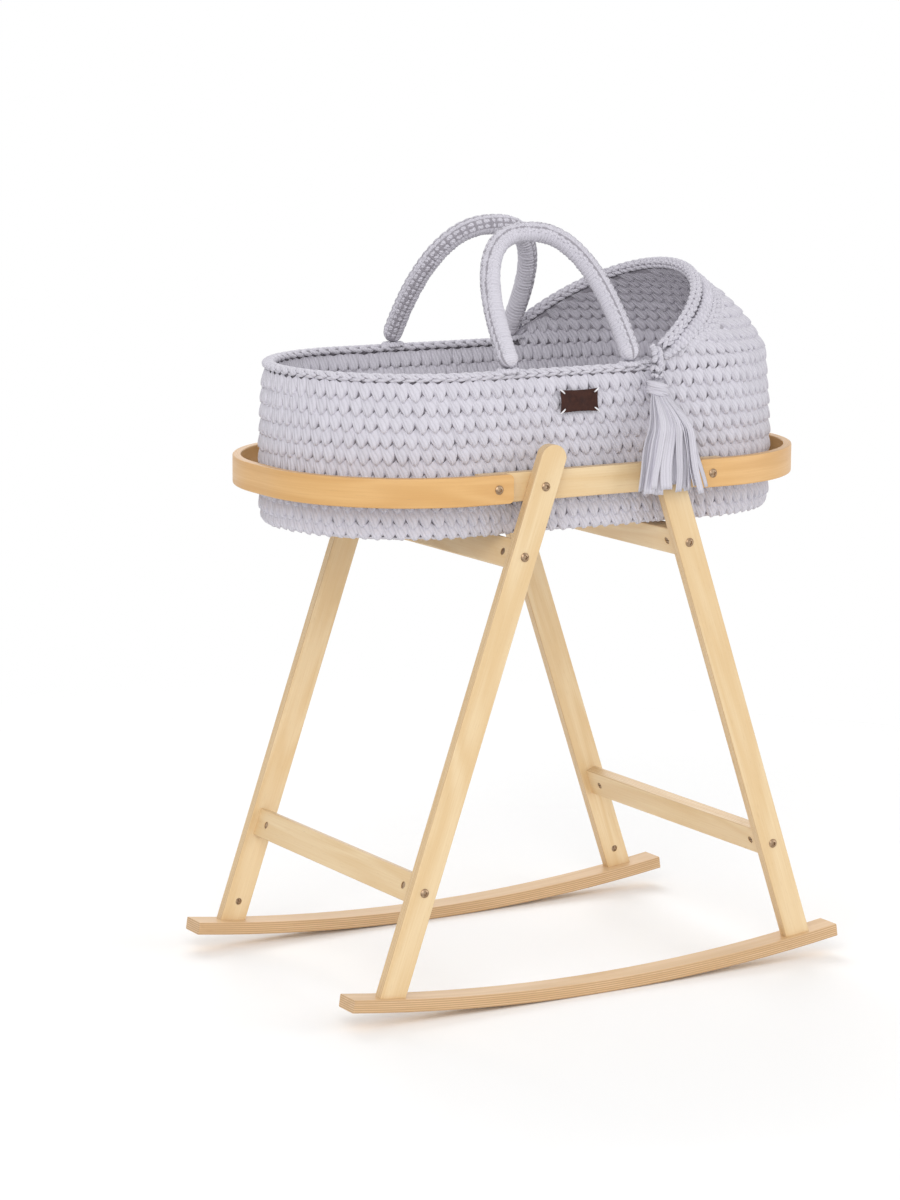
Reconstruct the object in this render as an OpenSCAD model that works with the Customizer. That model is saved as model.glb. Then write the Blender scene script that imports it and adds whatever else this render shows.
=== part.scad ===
// Rocking stand for an oval baby basket, with the crocheted basket in its ring.
// The origin is on the floor under the middle. X points to the hooded head end, the front is -Y and Z is up.

/* [Rockers] */
// Length of a rocker, end to end
rocker_len = 800; // [760:5:880]
// Width of a rocker
rocker_w = 40; // [36:1:50]
// Thickness of the bent rocker board
rocker_t = 18; // [16:1:22]
// Height of the rocker's ends over its middle
rocker_sag = 28; // [20:1:36]
// Distance from a leg's outer face to the rocker's outer edge
rocker_step = 7.5; // [5:0.5:10]

/* [Legs] */
// Clear width between the front and back legs
leg_gap = 450; // [430:2:480]
// Width of a leg
leg_w = 40; // [36:1:46]
// Thickness of a leg
leg_t = 15; // [14:1:18]
// Distance from a leg's foot to the rocker's end
foot_set = 65.3; // [55:0.1:80]
// Distance from a leg's rail bolt to the end of the bow's arm
rail_bolt_set = 48.5; // [40:0.5:60]
// Leg above the rail bolt, up to the middle of its round top
leg_top_over = 38; // [30:1:46]

/* [Bars] */
// Width of a bar, along the leg
bar_w = 40; // [38:1:46]
// Thickness of a bar
bar_t = 18; // [16:1:22]
// Drop from the rail bolts to the upper bars
upper_bar_drop = 93.5; // [85:0.5:105]
// Height of the stretchers over the floor
stretcher_z = 177; // [150:1:220]

/* [Ring] */
// Height of the ring's middle over the floor
ring_z = 715; // [680:1:750]
// Length of the ring, over its bows
ring_len = 820; // [800:2:860]
// Height of the ring's boards
ring_h = 40; // [36:1:46]
// Thickness of a bent bow
bow_t = 12; // [10:0.5:14]
// Inner radius of a bow's corners
bow_corner_r = 200; // [185:1:208]
// Thickness of a side rail
rail_t = 15; // [14:1:18]
// Distance from a bow's bolt to the start of its bend
bow_bolt_set = 25; // [20:1:30]
// Bow arm beyond its bolt
arm_over = 23; // [18:1:26]
// Corner radius of a bow arm's end
arm_corner = 8; // [4:0.5:10]
// Rounding of the boards' long edges
edge_r = 2; // [1:0.25:3]

/* [Fasteners] */
// Diameter of a bolt's shank
bolt_d = 6; // [5:0.5:7]
// Diameter of a bolt's head
head_d = 12.5; // [11:0.5:13]
// Height of a bolt's head
head_h = 3.3; // [2.5:0.1:4]
// Width of the hexagon socket, over its corners
socket_d = 5.8; // [4:0.1:6]
// Diameter of a barrel nut
barrel_d = 10; // [9:0.5:11]
// Diameter of a locating dowel
dowel_d = 8; // [6:0.5:9]
// Length of a locating dowel
dowel_len = 28; // [24:1:32]

/* [Basket] */
// Gap between the basket's ends and the bows
basket_end_gap = 8; // [6:0.5:14]
// Gap between the basket's sides and the rails
basket_side_gap = 9; // [6:0.5:14]
// Place of the basket towards the head end
basket_shift = 4; // [0:0.5:5]
// Height of the basket without its hood
basket_h = 225; // [200:1:260]
// Thickness of the crocheted wall
wall_t = 16; // [12:0.5:20]
// How far the wall's top leans in
wall_lean = 8; // [4:0.5:12]
// Thickness of the base
base_t = 14; // [10:0.5:18]
// Height of the rim braid
rim_h = 13; // [10:0.5:16]
// Width of the rim braid
rim_w = 20; // [18:0.5:24]
// Thickness of the mattress at its edge
mattress_t = 40; // [30:1:50]
// Crown of the mattress over its edge
mattress_crown = 8; // [4:1:12]

/* [Hood] */
// Place of the hood's front corners towards the head end
hood_foot_x = 105; // [90:1:130]
// How far back the hood's front edge leans at its top
hood_back = 158; // [140:1:170]
// Rise of the hood's front edge over the rim
hood_rise = 112; // [95:1:130]
// Thickness of the hood
hood_t = 14; // [10:0.5:18]
// Diameter of the band on the hood's front edge
hood_band_d = 18; // [14:0.5:22]

/* [Handles and tassels] */
// Thickness of a handle
handle_d = 28; // [22:0.5:32]
// Distance between a handle's two feet
handle_span = 196; // [180:1:210]
// Height of a handle's arch, along its lean
handle_h = 195; // [175:1:215]
// Inward lean of a handle from upright, in degrees
handle_lean = 35; // [25:1:40]
// Distance from the front handle's near foot to the hood's front corner
front_handle_set = 42; // [20:1:60]
// Distance from the back handle's near foot to the hood's front corner
back_handle_set = 8; // [7:1:40]
// Length of a tassel below its knot
tassel_len = 148; // [130:1:155]
// Half width of a tassel at its ends
tassel_spread = 52; // [40:1:56]
// Half thickness of a tassel
tassel_thick = 10; // [8:0.5:12]
// Diameter of a tassel's knot
knot_d = 22; // [18:0.5:26]

/* [Label] */
// Width of the leather label
label_w = 58; // [45:1:70]
// Height of the leather label
label_h = 30; // [24:1:34]
// Thickness of the leather label
label_t = 2; // [1.5:0.25:3]
// Place of the label's middle towards the head end
label_x = -24; // [-40:1:0]
// Drop from the rim to the label's middle
label_drop = 46; // [38:1:60]

/* [Hidden] */

$fn = 64;
over = 1;           // overrun of every cut
fit = 0.1;          // clearance round a pin in its hole, and between seated curves
soft_fit = 0.3;     // clearance of a soft piece from its seat
arc_fn = 720;       // steps of the long rocker curve

birch = "burlywood";
steel = "dimgray";
yarn = "lightsteelblue";

// Stand, derived
rocker_half = rocker_len / 2;
rocker_r = (rocker_half * rocker_half + rocker_sag * rocker_sag) / (2 * rocker_sag);
rocker_angle = asin(rocker_half / rocker_r);
leg_inner = leg_gap / 2;
leg_outer = leg_inner + leg_t;
leg_mid = leg_inner + leg_t / 2;
rocker_mid = leg_outer + rocker_step - rocker_w / 2;

// Ring, derived
bow_c_x = ring_len / 2 - bow_t - bow_corner_r;
bow_c_y = leg_inner - bow_corner_r;
bow_bolt_x = bow_c_x - bow_bolt_set;
arm_end_x = bow_bolt_x - arm_over;
rail_back = 3;      // rail end short of the bow's bend
rail_half = bow_c_x - rail_back;

// A leg runs from its rail bolt to its foot on the rocker's top
rail_bolt_x = arm_end_x - rail_bolt_set;
rocker_top_r = rocker_r - rocker_t;
foot_x = rocker_half - foot_set;
foot_rise = rocker_r - sqrt(rocker_top_r * rocker_top_r - foot_x * foot_x);
leg_reach = norm([foot_x - rail_bolt_x, ring_z - foot_rise]);
leg_lean = atan((foot_x - rail_bolt_x) / (ring_z - foot_rise));
upper_bar_run = upper_bar_drop / cos(leg_lean);
stretcher_run = (ring_z - stretcher_z) / cos(leg_lean);

// Fasteners, derived and small sizes
hole_d = bolt_d + 2 * fit;
head_dome_share = 0.72;
head_dome_r = head_d * head_dome_share;
socket_share = 0.6;
socket_deep = head_h * socket_share;
sleeve_wall = 1;    // wall of a sleeve nut
sleeve_d = bolt_d + 2 * sleeve_wall;
sleeve_share = 0.75;
sleeve_len = rail_t * sleeve_share;
flange_t = 2;       // flange of a sleeve nut
nut_cap = 3;        // closed end of a sleeve nut
nut_set = 28;       // barrel nut from the end of its bar
bolt_past = 6;      // bolt end beyond the barrel nut's middle
nut_sink = 1;       // barrel nut below the face of its board
barrel_len = bar_t - 2 * nut_sink;
slot_w = 1.4;       // screwdriver slot in a barrel nut
slot_deep = 1.2;    // depth of that slot
foot_nut_up = 28;   // barrel nut above the rocker, along the leg
foot_nut_sink = 2;  // foot nut below the inner face of its leg
foot_nut_len = leg_t - 2 * foot_nut_sink;
pin_depth_share = 0.45;
foot_web = rocker_t * pin_depth_share;
recess_room = 1.5;  // room round a sunk bolt head
recess_d = head_d + recess_room;
dowel_set_share = 0.3;
dowel_set = bar_w * dowel_set_share;
dowel_in_share = 0.6;
dowel_in = leg_t * dowel_in_share;
foot_dowel_in = rocker_t * pin_depth_share;
bow_dowel_d = 6;    // smaller dowel in a bow arm
bow_dowel_set = bow_dowel_d + head_d * dowel_in_share;
bow_dowel_in = bow_t * dowel_in_share;
bow_dowel_len = bow_dowel_in + rail_t * dowel_in_share;

// Basket, derived
bar_top = ring_z - upper_bar_drop + bar_w / 2 * cos(leg_lean) + bar_t / 2 * sin(leg_lean);
basket_z = bar_top + soft_fit;
basket_w = leg_gap - 2 * (rail_t + basket_side_gap);
basket_len = ring_len - 2 * (bow_t + basket_end_gap);
basket_r = basket_w / 2;
basket_c = (basket_len - basket_w) / 2;
rim_z = basket_z + basket_h;
wall_top_r = basket_r - wall_lean;
base_round_share = 0.9;
base_round = base_t * base_round_share;
// Wall outline: share of the height, share of the lean
wall_shares = [[0, 0.3], [0.1, 0.06], [0.28, 0], [0.5, 0.12], [0.75, 0.5], [1, 1]];
rim_mid_r = wall_top_r - wall_t / 2;
rim_round = rim_h / 2;
mattress_gap = 4;   // room round the mattress at the narrow top of the wall
mattress_r = wall_top_r - wall_t - mattress_gap;
mattress_soft = 26; // depth of the mattress's soft edge
// Mattress side: share of the soft edge drawn in, share of the thickness
mattress_shares = [[0.4, 0], [0.1, 0.1], [0, 0.28], [0.1, 0.5], [0.01, 0.7], [0.12, 0.88], [0.4, 1]];
crown_steps = 6;

// Hood, derived
hood_foot_angle = 7;
hood_bulge = 12;    // swell of the hood between rim and front edge
hood_side_share = 0.4;
hood_lean = atan(hood_rise / hood_back);
hood_stations = 40;
hood_steps = 6;
band_sides = 10;
band_r = hood_band_d / 2;

// Handle, derived
foot_z = rim_z + soft_fit + handle_d / 2;
foot_y = rim_mid_r;
handle_half = handle_span / 2;
handle_r = handle_d / 2;
handle_power = 2.5; // fullness of the handle's arch, where 2 is an ellipse
handle_stations = 36;
handle_sides = 14;
handle_end_angles = [75, 50, 25];

// Tassel, derived
knot_r = knot_d / 2;
rim_edge_r = rim_mid_r + rim_w / 2 - rim_round;
// The knot lies against the rim's round outer edge, half a rim below its middle
knot_z = rim_z - rim_h;
knot_y = rim_edge_r + sqrt(pow(rim_round + knot_r + soft_fit, 2) - pow(rim_round, 2));
knot_x = hood_foot_x + basket_shift - knot_r;
tassel_clear = 1.5; // room between a tassel and the bolt heads
tassel_y = leg_outer + head_h + tassel_clear + tassel_thick;
// Tassel: share of the length, width, thickness and outward step
tassel_shares = [
    [0, 0.17, 0.8, 0], [0.1, 0.17, 0.8, 0.12], [0.2, 0.25, 0.9, 0.4],
    [0.36, 0.42, 0.95, 0.86], [0.55, 0.62, 1, 1], [0.8, 0.86, 1, 1], [1, 1, 0.9, 1]
];
tassel_points = 36;
tassel_folds = 9;
tassel_fold_share = 0.14;

// Label, derived
label_round = 3;    // corner radius of the label
label_up = basket_h - label_drop;
label_low_r = wall_outer(label_up - label_h / 2);
label_top_r = wall_outer(label_up + label_h / 2);
label_tilt = atan((label_low_r - label_top_r) / label_h);
label_y = (label_low_r + label_top_r) / 2 + soft_fit;

// A rectangle with round corners, about its middle
module round_rect(w, h, r) {
    square([w - 2 * r, h], center = true);
    square([w, h - 2 * r], center = true);
    for (x = [-1, 1], y = [-1, 1])
        translate([x * (w / 2 - r), y * (h / 2 - r)]) circle(r);
}

// Moves a piece drawn at the head and back to the side that is asked for
module to_side(sx, sy) {
    mirror([sx < 0 ? 1 : 0, 0, 0]) mirror([0, sy < 0 ? 1 : 0, 0]) children();
}

// Turns a piece drawn along Z to lie along a leg, with its zero at the rail bolt
module along_leg() {
    translate([rail_bolt_x, 0, ring_z]) rotate([0, -leg_lean, 0]) children();
}

// Points a piece drawn along Z outwards, along Y
module outwards(y) {
    translate([0, y, 0]) rotate([-90, 0, 0]) children();
}

// A pin hole along Z from one height to another
module hole(d, from, to) {
    translate([0, 0, from]) cylinder(d = d, h = to - from);
}

// Bolt with a domed socket head, its bearing face at zero and its shank downwards
module bolt(reach) {
    difference() {
        intersection() {
            translate([0, 0, head_h - head_dome_r]) sphere(head_dome_r);
            cylinder(d = head_d, h = head_h);
        }
        translate([0, 0, head_h - socket_deep]) cylinder(d = socket_d, h = socket_deep + over, $fn = 6);
    }
    translate([0, 0, -reach]) cylinder(d = bolt_d, h = reach);
}

// Sleeve nut with a flange, its bearing face at zero and its sleeve downwards
module sleeve_nut() {
    difference() {
        union() {
            cylinder(d = head_d, h = flange_t);
            translate([0, 0, -sleeve_len]) cylinder(d = sleeve_d, h = sleeve_len);
        }
        hole(hole_d, -sleeve_len - over, flange_t - nut_cap);
    }
}

// Barrel nut along Z about its middle, with its cross hole along X and a slot at its upper end
module barrel_nut(h) {
    difference() {
        cylinder(d = barrel_d, h = h, center = true);
        rotate([0, 90, 0]) cylinder(d = hole_d, h = barrel_d + 2 * over, center = true);
        translate([-barrel_d / 2 - over, -slot_w / 2, h / 2 - slot_deep])
            cube([barrel_d + 2 * over, slot_w, slot_deep + over]);
    }
}

// Places along a leg of the bolts that hold its bars
bar_runs = [upper_bar_run, stretcher_run];

// The ways that a foot bolt and a foot dowel take, drawn along a leg
module foot_bolt_way(extra) {
    translate([0, leg_mid, -leg_reach]) hole(bolt_d + extra, -foot_web, foot_nut_up + bolt_past);
}
module foot_dowel_way(extra) {
    translate([dowel_set, leg_mid, -leg_reach])
        hole(dowel_d + extra, -foot_dowel_in, dowel_len - foot_dowel_in);
}

// Rocker
module rocker_blank() {
    translate([0, rocker_mid, rocker_r]) rotate([90, 0, 0]) rotate([0, 0, -90 - rocker_angle])
        rotate_extrude(angle = 2 * rocker_angle, $fn = arc_fn)
            translate([rocker_r - rocker_t / 2, 0]) round_rect(rocker_t, rocker_w, edge_r);
}
module rocker(sy) {
    color(birch) to_side(1, sy) difference() {
        rocker_blank();
        for (sx = [-1, 1]) to_side(sx, 1) along_leg() {
            foot_bolt_way(2 * fit);
            foot_dowel_way(2 * fit);
            translate([0, leg_mid, 0]) hole(recess_d, -leg_reach - 2 * rocker_t, -leg_reach - foot_web);
        }
    }
}

// Leg
module leg_outline() {
    translate([0, leg_top_over]) circle(d = leg_w);
    translate([-leg_w / 2 - over, -leg_reach - leg_w])
        square([leg_w + 2 * over, leg_reach + leg_w + leg_top_over]);
}
module leg_blank() {
    intersection() {
        translate([0, leg_mid, -leg_reach - leg_w])
            linear_extrude(leg_reach + 2 * leg_w + leg_top_over) round_rect(leg_w, leg_t, edge_r);
        translate([0, leg_outer + over, 0]) rotate([90, 0, 0]) linear_extrude(leg_t + 2 * over) leg_outline();
    }
}
module leg(sx, sy) {
    color(birch) to_side(sx, sy) difference() {
        intersection() {
            along_leg() leg_blank();
            translate([0, leg_mid, rocker_r]) rotate([90, 0, 0])
                cylinder(r = rocker_top_r - fit, h = leg_t + 2 * over, center = true, $fn = arc_fn);
        }
        along_leg() {
            outwards(leg_inner) hole(hole_d, -over, leg_t + over);
            for (run = bar_runs) translate([0, 0, -run]) {
                outwards(leg_inner) hole(hole_d, -over, leg_t + over);
                translate([0, 0, -dowel_set]) outwards(leg_inner)
                    hole(dowel_d + 2 * fit, -over, dowel_in + fit);
            }
            foot_bolt_way(2 * fit);
            foot_dowel_way(2 * fit);
            translate([0, 0, foot_nut_up - leg_reach]) outwards(leg_inner)
                hole(barrel_d + 2 * fit, -over, foot_nut_sink + foot_nut_len + fit);
        }
    }
}

// Bar between a front and a back leg, at a distance along the legs
module bar(sx, run) {
    color(birch) to_side(sx, 1) along_leg() translate([0, 0, -run]) difference() {
        rotate([90, 0, 0]) linear_extrude(leg_gap, center = true) round_rect(bar_t, bar_w, edge_r);
        for (sy = [-1, 1]) to_side(1, sy) {
            outwards(leg_inner) hole(hole_d, -nut_set - bolt_past - fit, over);
            translate([0, leg_inner - nut_set, 0]) rotate([0, 90, 0])
                cylinder(d = barrel_d + 2 * fit, h = bar_t + 2 * over, center = true);
            translate([0, 0, -dowel_set]) outwards(leg_inner)
                hole(dowel_d + 2 * fit, dowel_in - dowel_len - fit, over);
        }
    }
}

// Ring
module rail(sy) {
    color(birch) to_side(1, sy) difference() {
        translate([0, leg_inner - rail_t / 2, ring_z]) rotate([90, 0, 90])
            linear_extrude(2 * rail_half, center = true) round_rect(rail_t, ring_h, edge_r);
        for (sx = [-1, 1], x = [rail_bolt_x, bow_bolt_x])
            translate([sx * x, 0, ring_z]) outwards(leg_inner) hole(sleeve_d + 2 * fit, -rail_t - over, over);
        for (sx = [-1, 1]) translate([sx * (bow_bolt_x + bow_dowel_set), 0, ring_z]) outwards(leg_inner)
            hole(bow_dowel_d + 2 * fit, bow_dowel_in - bow_dowel_len - fit, over);
    }
}
module arm_outline() {
    translate([arm_end_x + arm_corner, -ring_h / 2 - over])
        square([bow_c_x - arm_end_x - arm_corner, ring_h + 2 * over]);
    translate([arm_end_x, -ring_h / 2 + arm_corner]) square([arm_corner + over, ring_h - 2 * arm_corner]);
    for (z = [-1, 1]) translate([arm_end_x + arm_corner, z * (ring_h / 2 - arm_corner)]) circle(arm_corner);
}
module bow_arm() {
    intersection() {
        translate([arm_end_x - over, leg_inner + bow_t / 2, 0]) rotate([90, 0, 90])
            linear_extrude(bow_c_x - arm_end_x + over) round_rect(bow_t, ring_h, edge_r);
        translate([0, leg_inner + bow_t + over, 0]) rotate([90, 0, 0])
            linear_extrude(bow_t + 2 * over) arm_outline();
    }
}
module bow(sx) {
    color(birch) to_side(sx, 1) translate([0, 0, ring_z]) difference() {
        union() {
            for (sy = [-1, 1]) to_side(1, sy) {
                bow_arm();
                translate([bow_c_x, bow_c_y, 0]) rotate_extrude(angle = 90)
                    translate([bow_corner_r + bow_t / 2, 0]) round_rect(bow_t, ring_h, edge_r);
            }
            translate([bow_c_x + bow_corner_r + bow_t / 2, 0, 0]) rotate([90, 0, 0])
                linear_extrude(2 * bow_c_y, center = true) round_rect(bow_t, ring_h, edge_r);
        }
        for (sy = [-1, 1]) to_side(1, sy) {
            translate([bow_bolt_x, 0, 0]) outwards(leg_inner) hole(hole_d, -over, bow_t + over);
            translate([bow_bolt_x + bow_dowel_set, 0, 0]) outwards(leg_inner)
                hole(bow_dowel_d + 2 * fit, -over, bow_dowel_in + fit);
        }
    }
}

// Fasteners: one of each at the four corners of the stand
module at_corners() {
    for (sx = [-1, 1], sy = [-1, 1]) to_side(sx, sy) children();
}
module leg_rail_bolts() {
    color(steel) at_corners() along_leg() outwards(leg_outer) bolt(leg_t + rail_t - nut_cap);
}
module leg_rail_nuts() {
    color(steel) at_corners() along_leg() outwards(leg_inner - rail_t) rotate([180, 0, 0]) sleeve_nut();
}
module bow_bolts() {
    color(steel) at_corners() translate([bow_bolt_x, 0, ring_z])
        outwards(leg_inner + bow_t) bolt(bow_t + rail_t - nut_cap);
}
module bow_nuts() {
    color(steel) at_corners() translate([bow_bolt_x, 0, ring_z])
        outwards(leg_inner - rail_t) rotate([180, 0, 0]) sleeve_nut();
}
module bar_bolts(run) {
    color(steel) at_corners() along_leg() translate([0, 0, -run])
        outwards(leg_outer) bolt(leg_t + nut_set + bolt_past);
}
module bar_nuts(run) {
    color(steel) at_corners() along_leg() translate([0, leg_inner - nut_set, -run])
        rotate([0, -90, 0]) rotate([0, 0, 90]) barrel_nut(barrel_len);
}
module bar_dowels(run) {
    color(birch) at_corners() along_leg() translate([0, 0, -run - dowel_set])
        outwards(leg_inner) hole(dowel_d, dowel_in - dowel_len, dowel_in);
}
module upper_bar_bolts() { bar_bolts(upper_bar_run); }
module upper_bar_nuts() { bar_nuts(upper_bar_run); }
module upper_bar_dowels() { bar_dowels(upper_bar_run); }
module stretcher_bolts() { bar_bolts(stretcher_run); }
module stretcher_nuts() { bar_nuts(stretcher_run); }
module stretcher_dowels() { bar_dowels(stretcher_run); }
module foot_bolts() {
    color(steel) at_corners() along_leg() translate([0, leg_mid, -leg_reach - foot_web])
        rotate([180, 0, 0]) bolt(foot_web + foot_nut_up + bolt_past);
}
module foot_nuts() {
    color(steel) at_corners() along_leg() translate([0, leg_mid, foot_nut_up - leg_reach])
        rotate([90, 0, 0]) rotate([0, 0, 90]) barrel_nut(foot_nut_len);
}
module foot_dowels() {
    color(birch) at_corners() along_leg() foot_dowel_way(0);
}
module bow_dowels() {
    color(birch) at_corners() translate([bow_bolt_x + bow_dowel_set, 0, ring_z]) outwards(leg_inner)
        hole(bow_dowel_d, bow_dowel_in - bow_dowel_len, bow_dowel_in);
}

// Sweeps a profile, drawn as distance from the middle line and height, round the basket's oval
module round_oval() {
    for (sx = [-1, 1]) translate([sx * basket_c, 0, 0]) rotate([0, 0, -90 * sx])
        rotate_extrude(angle = 180) children();
    for (sy = [-1, 1]) to_side(1, sy) rotate([90, 0, 90])
        linear_extrude(2 * basket_c, center = true) children();
}
module in_basket() {
    translate([basket_shift, 0, basket_z]) children();
}

// Basket
module basket_base() {
    color(yarn) in_basket() round_oval() polygon(concat(
        [[0, 0]],
        [for (a = [-90:15:0]) [
            basket_r - wall_lean * wall_shares[0][1] - base_round + base_round * cos(a),
            base_round + base_round * sin(a)
        ]],
        [[basket_r - wall_lean * wall_shares[0][1], base_t], [0, base_t]]
    ));
}
function wall_outer(h) = basket_r - wall_lean * lookup((h - base_t) / (basket_h - base_t), wall_shares);
function wall_line(inset) = [
    for (s = wall_shares) [basket_r - inset - wall_lean * s[1], base_t + (basket_h - base_t) * s[0]]
];
function backwards(list) = [for (i = [len(list) - 1:-1:0]) list[i]];
module basket_wall() {
    color(yarn) in_basket() difference() {
        round_oval() polygon(concat(wall_line(0), backwards(wall_line(wall_t))));
        translate([hood_foot_x - 2 * basket_len, -basket_w, basket_h - rim_h])
            cube([2 * basket_len, 2 * basket_w, rim_h + over]);
    }
}
module basket_rim() {
    color(yarn) in_basket() intersection() {
        round_oval() translate([rim_mid_r, basket_h - rim_h / 2]) {
            square([rim_w - rim_h, rim_h], center = true);
            for (sx = [-1, 1]) translate([sx * (rim_w - rim_h) / 2, 0]) circle(rim_round);
        }
        translate([hood_foot_x - fit - 2 * basket_len, -basket_w, 0])
            cube([2 * basket_len, 2 * basket_w, 2 * basket_h]);
    }
}
function mattress_line() = concat(
    [for (s = mattress_shares) [mattress_r - mattress_soft * s[0], mattress_t * s[1]]],
    [for (i = [1:crown_steps]) [
        (mattress_r - mattress_soft * mattress_shares[len(mattress_shares) - 1][0]) * (1 - i / crown_steps),
        mattress_t + mattress_crown * (1 - pow(1 - i / crown_steps, 2))
    ]],
    [[0, 0]]
);
module mattress() {
    color("white") in_basket() translate([0, 0, base_t + soft_fit]) round_oval() polygon(mattress_line());
}
module leather_label() {
    color("saddlebrown") translate([label_x, -label_y, rim_z - label_drop]) rotate([90 - label_tilt, 0, 0])
        linear_extrude(label_t) round_rect(label_w, label_h, label_round);
}

// Triangles of a loft through rings of n points, closed by a fan at each end
function loft_sides(n, rings) = [
    for (j = [0:rings - 2], i = [0:n - 1], half = [0, 1])
        let (a = j * n + i, b = j * n + (i + 1) % n, c = (j + 1) * n + (i + 1) % n, d = (j + 1) * n + i)
            half == 0 ? [a, c, b] : [a, d, c]
];
function loft_ends(n, rings) = concat(
    [for (i = [0:n - 1]) [n * rings, i, (i + 1) % n]],
    [for (i = [0:n - 1]) [n * rings + 1, n * (rings - 1) + (i + 1) % n, n * (rings - 1) + i]]
);
function middle(ring) = [for (k = [0:2]) let (v = [for (p = ring) p[k]]) v * [for (p = ring) 1] / len(ring)];
module loft(rings) {
    n = len(rings[0]);
    m = len(rings);
    polyhedron(
        points = concat([for (r = rings) each r], [middle(rings[0]), middle(rings[m - 1])]),
        faces = concat(loft_sides(n, m), loft_ends(n, m))
    );
}

// Hood: a point at a share t along the rim's head end, at a distance r from the middle line
hood_run = basket_c - hood_foot_x;
hood_path = 2 * hood_run + PI * wall_top_r;
function rim_point(t, r) =
    let (d = t * hood_path, turn = (d - hood_run) / wall_top_r * 180 / PI)
    d < hood_run ? [hood_foot_x + d, -r, 0]
        : turn < 180 ? [basket_c + r * sin(turn), -r * cos(turn), 0]
        : [hood_foot_x + hood_path - d, r, 0];
// A point at a share t along the hood's front edge, set in by a thickness
function arch_point(t, inset) =
    let (a = hood_foot_angle + t * (180 - 2 * hood_foot_angle))
    [
        hood_foot_x + (hood_back - inset * cos(hood_lean)) * sin(a),
        -(wall_top_r - inset) * cos(a),
        (hood_rise - inset * sin(hood_lean)) * sin(a)
    ];
// A point of the hood's skin, from the rim at s = 0 to the front edge at s = 1
function hood_point(t, s, inset) =
    let (
        low = rim_point(t, wall_top_r - inset),
        high = arch_point(t, inset),
        swell = 4 * s * (1 - s) * hood_bulge,
        top = sin(180 * t),
        out = [sin(hood_lean) * top, -hood_side_share * cos(180 * t), cos(hood_lean) * top]
    )
    low + (high - low) * s + swell * out;
function hood_ring(t) = concat(
    [for (i = [0:hood_steps]) hood_point(t, i / hood_steps, 0)],
    [for (i = [hood_steps:-1:0]) hood_point(t, i / hood_steps, hood_t)]
);
module hood() {
    color(yarn) in_basket() translate([0, 0, basket_h + fit])
        loft([for (j = [0:hood_stations]) backwards(hood_ring(j / hood_stations))]);
}

// Band along the hood's front edge, square to the edge's own plane
function band_ring(t) =
    let (
        mid = arch_point(t, hood_t / 2) + (band_r + fit) * [-sin(hood_lean), 0, cos(hood_lean)],
        ahead = arch_point(t + 1 / hood_stations, hood_t / 2) - arch_point(t - 1 / hood_stations, hood_t / 2),
        along = ahead / norm(ahead),
        up = [-sin(hood_lean), 0, cos(hood_lean)],
        side = cross(along, up)
    )
    [
        for (i = [0:band_sides - 1])
            let (a = 360 * i / band_sides)
                mid + band_r * (side * cos(a) + up * sin(a))
    ];
module hood_band() {
    color(yarn) in_basket() translate([0, 0, basket_h + fit])
        loft([for (j = [0:hood_stations]) backwards(band_ring(j / hood_stations))]);
}

// Handle, drawn upright in the XZ plane with its feet on the X axis and a ball at each foot
function handle_point(a) = [
    handle_half * sign(cos(a)) * pow(abs(cos(a)), 2 / handle_power),
    0,
    handle_h * pow(sin(a), 2 / handle_power)
];
function handle_ring(mid, along, r) =
    let (side = cross(along, [0, 1, 0]))
    [
        for (i = [0:handle_sides - 1])
            let (b = 360 * i / handle_sides)
                mid + r * [side[0] * cos(b), sin(b), side[2] * cos(b)]
    ];
function handle_station(i) =
    let (
        step = 180 / handle_stations,
        ahead = handle_point(min(180, (i + 0.5) * step)) - handle_point(max(0, (i - 0.5) * step))
    )
    handle_ring(handle_point(i * step), ahead / norm(ahead), handle_r);
function handle_end(x, up) = [
    for (e = handle_end_angles) handle_ring([x, 0, -handle_r * sin(e)], [0, 0, up], handle_r * cos(e))
];
module handle_arch() {
    loft(backwards(concat(
        handle_end(handle_half, 1),
        [for (i = [0:handle_stations]) handle_station(i)],
        backwards(handle_end(-handle_half, -1))
    )));
}
module handle(set, sy) {
    color(yarn) to_side(1, sy) translate([hood_foot_x - set - handle_half + basket_shift, foot_y, foot_z])
        rotate([handle_lean, 0, 0]) handle_arch();
}

// Tassel
module tassel_knot(sy) {
    color(yarn) to_side(1, sy) translate([knot_x, knot_y, knot_z]) sphere(knot_r);
}
function tassel_ring(s) = [
    for (i = [0:tassel_points - 1])
        let (
            a = 360 * i / tassel_points,
            fold = 1 + tassel_fold_share * s[0] * cos(tassel_folds * a)
        )
        [
            tassel_spread * s[1] * cos(a) * fold,
            (tassel_y - knot_y) * s[3] + tassel_thick * s[2] * sin(a) * (2 - fold),
            -knot_r - soft_fit - tassel_len * s[0]
        ]
];
module tassel(sy) {
    color(yarn) to_side(1, sy) translate([knot_x, knot_y, knot_z])
        loft(backwards([for (s = tassel_shares) tassel_ring(s)]));
}

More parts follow.
